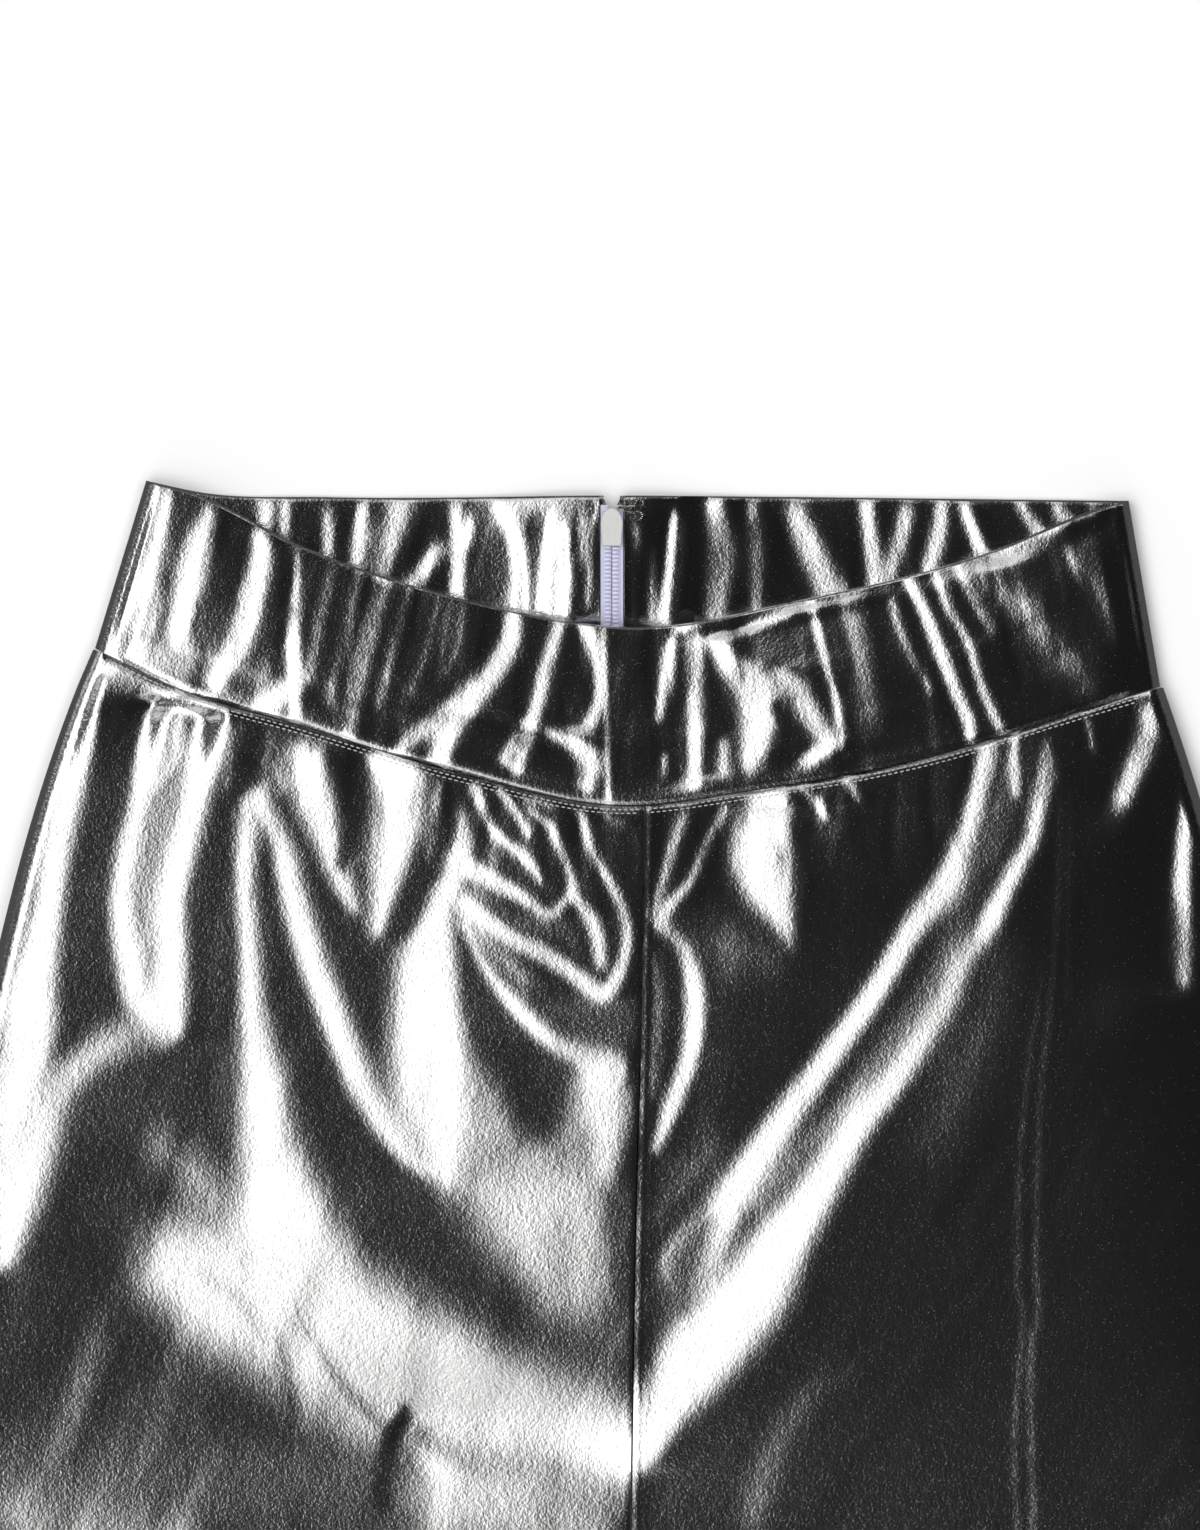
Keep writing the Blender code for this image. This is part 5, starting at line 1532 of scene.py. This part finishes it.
@dataclass
class Hardware:
    """The zip's slider and pull tab with rounded edges, and the hook and its eye."""

    enamel: bpy.types.Material
    wire: bpy.types.Material
    thread: bpy.types.Material

    def build(self, nodes: dict) -> None:
        """Rounds the slider and the tab, and wraps the hook with thread.

        Args:
            nodes: the CAD nodes by name.
        """
        for node, body in (("zip_slider", "garment"), ("zip_pull_tab", "pull_tab")):
            piece = self.rounded(nodes[node], node + "_rounded", 0.22)
            dress(piece, self.enamel, body, node)
        for node in ("hook", "hook_eye"):
            nodes[node].data.materials.clear()
            nodes[node].data.materials.append(self.wire)
        self.wraps()

    @staticmethod
    def rounded(node: bpy.types.Object, name: str, width: float) -> bpy.types.Object:
        """A copy of a CAD piece with its sharp edges rounded."""
        mesh = node.data.copy()
        mesh.name = name
        piece = bpy.data.objects.new(name, mesh)
        bpy.context.scene.collection.objects.link(piece)
        bevel = piece.modifiers.new("rounded", "BEVEL")
        bevel.width = width * MM
        bevel.segments = 3
        bevel.limit_method = "ANGLE"
        bevel.angle_limit = math.radians(35)
        mesh.shade_smooth()
        mesh.set_sharp_from_angle(angle=math.radians(50))
        return piece

    def wraps(self) -> None:
        """Thread wound over the hook's two loops and the eye's feet."""
        dice = np.random.RandomState(4)
        parts = []
        places = [(-0.2 + 1.15 * math.cos(a), 1.0 + 1.15 * math.sin(a), a) for a in np.linspace(0.6, 5.4, 9)]
        places += [(-0.4 + 1.3 * math.cos(a), 4.8 + 1.3 * math.sin(a), a) for a in np.linspace(3.4, 8.0, 9)]
        places += [(-15.9, 1.0, 1.6), (-16.3, 1.1, 1.6), (-15.9, 4.2, 1.6), (-16.3, 4.1, 1.6)]
        for across, down, angle in places:
            tilt = angle + 0.5 * (dice.random_sample() - 0.5)
            t = np.linspace(-1.0, 1.0, 9)
            run = 1.1 * t
            height = 7.55 + 1.0 * np.sqrt(np.clip(1 - (0.96 * t) ** 2, 0, 1)) - 0.35
            route = PATTERN.row_points(across + run * math.cos(tilt), down + run * math.sin(tilt), height)
            parts.append(tube(route, 0.16 * MM, 6))
        dress(merged("hook_thread", parts), self.thread)


@dataclass
class Stitches:
    """The two close rows of thread just under the band's seam."""

    finish: bpy.types.Material
    panels: dict
    pitch: float = 1.9
    length: float = 1.15
    thickness: float = 0.2
    rows: tuple = (1.35, 2.55)

    def build(self) -> bpy.types.Object:
        """Both rows, from one folded side to the other."""
        parts = []
        for row, offset in enumerate(self.rows):
            across = -168.0 + 0.5 * self.pitch * row
            while across < 159.0:
                if abs(across - 1.6) > 1.6:
                    parts.append(self.stitch(across, offset))
                across += self.pitch
        return dress(merged("band_seam_stitches", parts), self.finish)

    def stitch(self, across: float, offset: float) -> tuple:
        """One stitch, sunk at both ends."""
        side = Side.LEFT if across < 1.6 else Side.RIGHT
        run = np.linspace(-0.5, 0.5, 5)
        places = across + run * self.length
        down = PATTERN.front_seam(places) + offset
        height = self.panels[side].face_height(places, down)
        height = height + 0.02 + 0.1 * (1 - (2 * run) ** 2)
        radius = self.thickness * np.array([0.55, 0.95, 1.0, 0.95, 0.55]) * MM
        return tube(PATTERN.row_points(places, down, height), radius, 6)


@dataclass
class TapeLoop:
    """The narrow black tape inside the back band, with a soft rounded top."""

    finish: bpy.types.Material
    across: float = 15.0
    half_width: float = 2.4
    first: float = 35.0
    last: float = 55.2

    def build(self) -> bpy.types.Object:
        """The tape as a thin closed strip over the CAD one."""
        u, v = np.linspace(-1, 1, 13), np.linspace(0, 1, 31)
        across = self.across + self.half_width * u
        down = self.first + (self.last - self.first) * v[:, None] + 0.0 * u
        down[:8] += 0.9 * (u**2) * (1 - np.linspace(0, 1, 8))[:, None]
        grid = np.broadcast_to(across, down.shape)
        low = PATTERN.zip_arch(grid, down) + 2.75
        swell = 0.55 * np.sqrt(1 - 0.9 * u**2) * np.minimum(1, 0.35 + 5 * v)[:, None]
        outer = PATTERN.row_points(grid, down, low + 0.35 + swell)
        inner = PATTERN.row_points(grid, down, low)
        piece = shell("inner_tape_strip", outer, inner)
        piece.data.materials.append(self.finish)
        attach(piece, "garment")
        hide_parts("inner_tape_loop")
        return piece


# ---------------------------------------------------------------- studio


@dataclass(frozen=True)
class Studio:
    """The pale floor, the soft light and the camera of the photograph."""

    distance: float = 3.5
    near_height: float = 0.014
    zenith: float = 0.009
    box_light: float = 2.2
    window_light: float = 0.8
    window_turn: float = math.pi / 4
    horizon_light: float = 0.08
    overhead_power: float = 58.0
    floor_size: float = 6.0

    def build(self) -> None:
        """Makes the floor, the sky with its soft boxes, and the camera."""
        self.build_floor()
        self.build_sky()
        self.build_overhead()
        self.build_camera()
        bpy.context.scene.view_settings.view_transform = "Standard"

    def build_camera(self) -> None:
        """A long lens straight above the photographed part of the garment."""
        across = (IMAGE_WIDTH / 2 - SEAM_PIXEL) * MM_PER_PIXEL
        down = (IMAGE_HEIGHT / 2 - WAIST_PIXEL) * MM_PER_PIXEL
        place = PATTERN.row_points(np.array(across), np.array(down), np.array(0.0))
        camera = bpy.data.cameras.new("camera")
        camera.sensor_width = 36.0
        tall = IMAGE_HEIGHT * MM_PER_PIXEL * MM
        camera.lens = camera.sensor_width * (self.distance - self.near_height) / tall
        camera.clip_end = 100.0
        thing = bpy.data.objects.new("camera", camera)
        thing.location = (float(place[0]), float(place[1]), self.distance)
        bpy.context.scene.collection.objects.link(thing)
        bpy.context.scene.camera = thing

    def build_floor(self) -> None:
        """The pale surface that the garment lies on."""
        half = self.floor_size / 2
        floor = new_object("floor", np.array([(-half, -half, 0), (half, -half, 0), (half, half, 0),
                                              (-half, half, 0)], float), [(0, 1, 2, 3)])
        made = bpy.data.materials.new("pale_paper")
        made.use_nodes = True
        n = Nodes(made.node_tree)
        shader = made.node_tree.nodes["Principled BSDF"]
        shader.inputs["Roughness"].default_value = 0.9
        shader.inputs["Specular IOR Level"].default_value = 0.2
        noise = n.add("ShaderNodeTexNoise")
        noise.inputs["Scale"].default_value = 60.0
        tone = n.add("ShaderNodeMix", data_type="RGBA")
        tone.inputs["A"].default_value = (0.93, 0.93, 0.93, 1)
        tone.inputs["B"].default_value = (0.90, 0.90, 0.90, 1)
        n.link(noise.outputs["Fac"], tone.inputs["Factor"])
        n.link(tone.outputs["Result"], shader.inputs["Base Color"])
        floor.data.materials.append(made)
        floor.location.z = -0.0002
        floor.visible_glossy = False

    def build_overhead(self) -> None:
        """A wide soft light over the floor, kept out of the foil's reflections."""
        lamp = bpy.data.lights.new("overhead", "AREA")
        lamp.shape = "DISK"
        lamp.size = 3.0
        lamp.energy = self.overhead_power
        thing = bpy.data.objects.new("overhead", lamp)
        thing.location = (0.0, 0.3, 2.6)
        thing.visible_glossy = False
        bpy.context.scene.collection.objects.link(thing)

    def build_sky(self) -> None:
        """A dark ceiling, a soft box to the left, low windows all round and a pale horizon."""
        world = bpy.data.worlds.new("studio")
        world.use_nodes = True
        bpy.context.scene.world = world
        n = Nodes(world.node_tree)
        ground = world.node_tree.nodes["Background"]
        direction = n.add("ShaderNodeTexCoord").outputs["Generated"]
        split = n.add("ShaderNodeSeparateXYZ")
        n.link(direction, split.inputs[0])
        x, y, z = (split.outputs[k] for k in "XYZ")
        box = n.math("MULTIPLY", n.ramp(x, -0.06, -0.43), n.ramp(x, -0.74, -0.54))
        box = n.math("MULTIPLY", box, n.ramp(y, -0.80, -0.70))
        box = n.math("MULTIPLY", box, n.ramp(y, 0.80, 0.70))
        box = n.math("MULTIPLY", box, n.ramp(z, 0.60, 0.74))
        sides = n.ramp(n.math("ABSOLUTE", y), 0.52, 0.74)
        sides = n.math("MULTIPLY", sides, n.ramp(n.math("ABSOLUTE", y), 0.92, 0.78))
        sides = n.math("MULTIPLY", n.math("MULTIPLY", sides, n.ramp(x, 0.1, -0.1)), 0.5)
        sides = n.math("MULTIPLY", sides, n.ramp(z, 0.40, 0.54))
        box = n.math("MAXIMUM", box, sides)
        around = n.math("MULTIPLY", n.math("ARCTAN2", y, x), 4.0)
        turn = n.math("SINE", n.math("ADD", around, self.window_turn))
        windows = n.math("MULTIPLY", n.ramp(n.math("ABSOLUTE", turn), 0.45, 0.95), n.ramp(x, 0.80, 0.62))
        windows = n.math("MULTIPLY", windows, n.ramp(z, 0.58, 0.44))
        windows = n.math("MULTIPLY", windows, n.ramp(z, 0.10, 0.20))
        windows = n.math("MULTIPLY", windows, self.window_light / self.box_light)
        box = n.math("MAXIMUM", box, windows)
        horizon = n.ramp(z, 0.52, 0.30)
        light = n.math("ADD", n.math("MULTIPLY", box, self.box_light),
                       n.math("MULTIPLY", horizon, self.horizon_light))
        light = n.math("ADD", light, self.zenith)
        n.link(light, ground.inputs["Strength"])
        ground.inputs["Color"].default_value = (1.0, 1.0, 1.0, 1.0)


# ---------------------------------------------------------------- garment


@dataclass
class Garment:
    """All the pieces of the leggings."""

    groups: Groups = field(default_factory=Groups)

    def build(self, nodes: dict) -> None:
        """Builds the cloth and dresses what is carried over from the CAD part.

        Args:
            nodes: the CAD nodes by name.
        """
        foil = FoilFinish().build(self.groups)
        falls = {Side.LEFT: -0.05, Side.RIGHT: -0.03}
        puckers = Wrinkles(5, 130, (7, 34), (0.9, 2.2), (0.02, 0.08)).strew(under_band, hang)
        broad = Wrinkles(7, 150, (16, 60), (2.0, 5.0), (0.01, 0.035)).strew(on_hips, hang)
        FrontBand(foil).build()
        fronts = {}
        for side in Side:
            relief = HipRelief(side, (*HIP_FLANKS, *puckers, *broad), falls[side])
            BackBand(foil, side=side).build()
            fronts[side] = Panel(foil, side=side, layer=Layer.FRONT, relief=relief)
            fronts[side].build()
            Panel(foil, side=side, layer=Layer.BACK, flat_columns=82).build()
        self.trim(nodes, fronts)

    def trim(self, nodes: dict, fronts: dict) -> None:
        """Adds the zip, the hook, the inner tape and the stitches.

        Args:
            nodes: the CAD nodes by name.
            fronts: the two front panels by side.
        """
        groups = self.groups
        # Each tape's second colour is a darker copy of its first: painted shade, mixed in by the rib pattern.
        tape = ClothTapeFinish("lilac_tape", (0.70, 0.70, 0.86), (0.50, 0.50, 0.70)).build(groups)
        black = ClothTapeFinish("black_tape", (0.012, 0.012, 0.012), (0.004, 0.004, 0.004)).build(groups)
        coil = SmoothFinish("lilac_nylon", (0.74, 0.74, 0.90), (0.64, 0.64, 0.82), 0.45).build(groups)
        enamel = SmoothFinish("pale_enamel", (0.60, 0.60, 0.585), (0.55, 0.55, 0.53), 0.4,
                              coat=0.2).build(groups)
        wire = SmoothFinish("gunmetal_wire", (0.60, 0.57, 0.53), (0.40, 0.36, 0.31), 0.22,
                            metallic=1.0).build(groups)
        dark = SmoothFinish("dark_thread", (0.016, 0.014, 0.012), (0.10, 0.085, 0.07), 0.6).build(groups)
        pale = SmoothFinish("grey_thread", (0.55, 0.55, 0.55), (0.35, 0.35, 0.35), 0.5).build(groups)
        for side in Side:
            Coil(side, coil).build()
        for name in ("zip_tape_left", "zip_tape_right"):
            nodes[name].data.materials.clear()
            nodes[name].data.materials.append(tape)
        Hardware(enamel, wire, dark).build(nodes)
        TapeLoop(black).build()
        Stitches(pale, fronts).build()


def main() -> None:
    """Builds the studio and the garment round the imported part."""
    logging.basicConfig(level=logging.INFO)
    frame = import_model()
    Studio().build()
    Garment().build(frame["nodes"])


if __name__ == "__main__":
    main()
